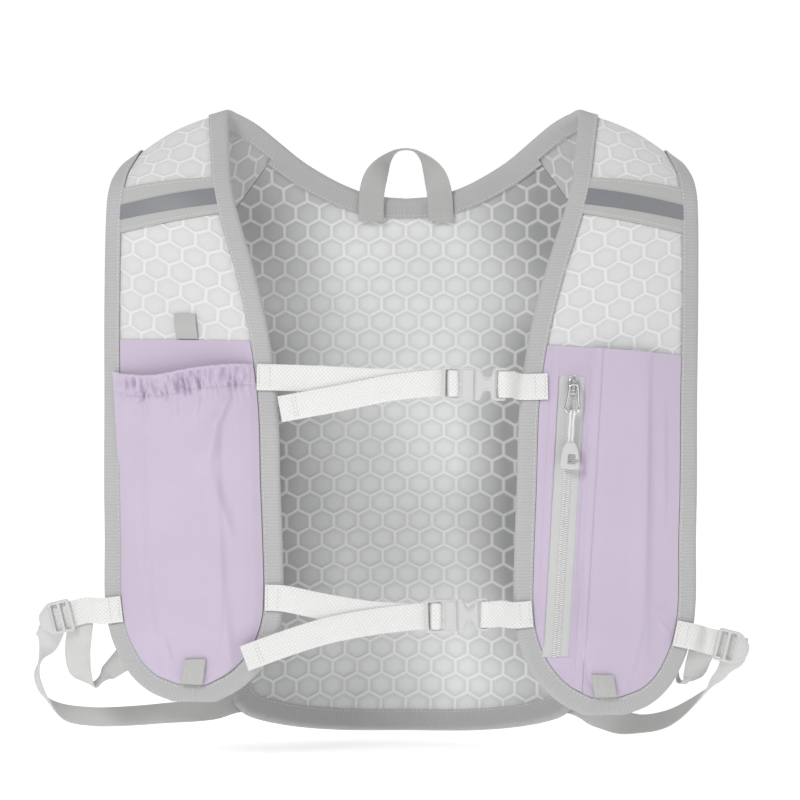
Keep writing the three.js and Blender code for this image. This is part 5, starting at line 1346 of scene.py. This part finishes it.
buckle = {"high": 10.0, "slotHigh": 8.4, "waist": 4.2, "thick": 3.0, "crown": 0.7}
for strap in straps:
    name = strap["name"]
    lay = faceViewer(strap["plug"][0] * 180, chest["front"], strap["plug"][1] * 345, strap["tilt"])
    high, low = buckle["high"], -buckle["high"]
    end = adjuster + 8
    plug = [
        moulded("plugFrame", [
            rounded([(0, low, 2.6), (end, low, 1.8), (end, high, 1.8), (0, high, 2.6)]),
            boxOutline(2, 5.8, -8.4, 8.4, 0.8)[::-1], boxOutline(7.8, adjuster, -8.25, 8.25, 0.8)[::-1],
        ], buckle["thick"], lay, look["plastic"]),
        moulded("plugPad", [boxOutline(adjuster + 0.9, end - 0.7, -8.7, 8.7, 1.4)], 1.2, lay, look["plastic"], 0.35,
                buckle["thick"] / 2),
    ]
    place(join(f"{name}_plug_moulded", plug), "plastic", f"{name}_chest_plug")
    start = end + 0.3
    waist = start + 7.5
    far = socketEnd
    half = [(start, 1.6), (start, 1.6), (start + 3.2, 1.2), (waist - 1.9, 2.6), (waist + 1.9, 2.6), (start + 11.4, 1.4), (far, 1.6)]
    levels = [high, high, high, buckle["waist"], buckle["waist"], high, high]
    upper = [(x, y, r) for (x, r), y in list(zip(half, levels))[1:]]
    lower = [(x, -y, r) for x, y, r in upper]
    socket = [
        moulded("socketBody", [rounded(lower + upper[::-1]), boxOutline(far - 5.8, far - 2, -8.4, 8.4, 0.8)[::-1]],
                buckle["thick"], lay, look["plastic"]),
        moulded("socketPad", [rounded([
            (start + 1, -8.2, 1.2), (start + 3, -8.2, 1.2), (waist - 1.5, -2.6, 2), (waist + 1.5, -2.6, 2),
            (start + 11.4, -8.2, 1.2), (far - 6.6, -8.2, 1), (far - 6.6, 8.2, 1), (start + 11.4, 8.2, 1.2), (waist + 1.5, 2.6, 2),
            (waist - 1.5, 2.6, 2), (start + 3, 8.2, 1.2), (start + 1, 8.2, 1.2),
        ])], 1.2, lay, look["plastic"], 0.35, buckle["thick"] / 2),
    ]
    place(join(f"{name}_socket_moulded", socket), "plastic", f"{name}_chest_socket")

for item in sideStraps:
    side, name = item["side"], item["name"]
    x, y, z, turn = item["lock"]
    lay = faceViewer(side * x * 180, y * 85, z * 345, turn)
    edge = 6.8
    shape = [(-edge, -10, 2), (edge, -10, 2.4), (edge + 7, -3.8, 2.6), (edge + 7, 3.8, 2.6), (edge, 10, 2.4), (-edge, 10, 2)]
    holes = [(-edge + 2, -edge + 5.8, 8.4), (1, 4.8, 8.25)]
    parts = [
        moulded("lockFrame", [rounded([(side * a, b, r) for a, b, r in shape])] + [
            boxOutline(*sorted((side * a, side * b)), -h, h, 0.8) for a, b, h in holes
        ], buckle["thick"], lay, look["plastic"]),
        moulded("lockNose", [rounded([(side * a, b, r) for a, b, r in (
            (edge - 0.6, -7.6, 1.5), (edge + 5.8, -2.9, 2), (edge + 5.8, 2.9, 2), (edge - 0.6, 7.6, 1.5))])],
                1.0, lay, look["plastic"], 0.35, buckle["thick"] / 2),
    ]
    place(join(f"ladder_lock_{name}", parts), "plastic", f"side_lock_{name}")

topRow = rowAtDrop(1, -zipTop[1])
one = np.array([topRow]), np.array([topRow - 1])
share = zipShareAt(one[0], np.zeros(1))
at, facing = (item[0] for item in pocketPlace(1, one[0], share))
upward = unit(at - pocketPlace(1, one[1], zipShareAt(one[1], np.zeros(1)))[0][0])
across = unit(np.cross(upward, facing))
outwardWay = np.cross(across, upward)
onCoil = float(zipPanel(one[0], share)[0]) + 0.8 + 0.9 + 0.6 + 1.2


def layOnZip(down, height):
    turn = Matrix(((across[0], upward[0], outwardWay[0]), (across[1], upward[1], outwardWay[1]),
                   (across[2], upward[2], outwardWay[2]))).to_4x4()
    return Matrix.Translation(Vector((at - upward * down + facing * height) * mm)) @ turn


def onZip(x, y, height):
    return at + across * x + upward * y + facing * height


slider = [
    moulded("sliderBody", [rounded([(-3.2, 2.6, 1.2), (-2.3, -5.3, 0.8), (2.3, -5.3, 0.8), (3.2, 2.6, 1.2), (1.5, 5.3, 1.2),
                                    (-1.5, 5.3, 1.2)])], 1.6, layOnZip(5.3, onCoil + 0.4), look["metal"], 0.4),
    moulded("sliderBridge", [boxOutline(-1.1, 1.1, -3.6, 3.6, 0.9)], 1.9, layOnZip(5.0, onCoil + 2.1), look["metal"], 0.6),
]
place(join("zip_slider_cast", slider), "metal", "zip_slider")
pullLift = onCoil + 4.2
ringPath = rounded([(-2.4, -4.6, 1.8), (2.4, -4.6, 1.8), (4.4, -19.4, 3.2), (3.2, -21.9, 2.6), (-3.2, -21.9, 2.6), (-4.4, -19.4, 3.2)], 9)
ring = wire("zip_ring_wire", [onZip(x, y, pullLift - 1.2 * (y < -18)) for x, y in ringPath], 0.7, look["metal"], closed=True)
place(ring, "metal", "zip_pull_ring")
cordRows = np.linspace(-20.6, -41.5, 24)
pull = [wire("pullCord", [onZip(way * (1.0 + 0.15 * math.sin(k * 0.6)), y, pullLift - 0.4 + 1.1 * math.exp(-((y + 21.5) / 1.6) ** 2))
                          for k, y in enumerate(cordRows)], 0.85, look["cord"]) for way in (-1, 1)]
pull.append(moulded("pullEnd", [rounded([
    (-2.4, -17, 1), (2.4, -17, 1), (4.4, -20.5, 2), (5.8, -27.4, 0.5), (3.3, -27.4, 0.3), (3.3, -24.3, 0.5), (-1.3, -24.3, 0.7),
    (-1.3, -30.2, 0.7), (3.6, -30.2, 0.4), (3.6, -29.0, 0.3), (6.0, -29.0, 0.4), (6.2, -32.6, 1.2), (4.6, -33.6, 1), (-4.8, -33.6, 1.6),
    (-6, -31.5, 1.5), (-5.2, -24, 2), (-4.4, -20.5, 2),
])], 2.6, layOnZip(22.6, pullLift + 0.6), look["plastic"], 0.6))
place(join("zip_pull_corded", pull), "webbing", "zip_pull")
print("buckles and zip pull made")

# ---- the stitches, one piece of thread for each owner
sewSeams()
print("stitches sewn")
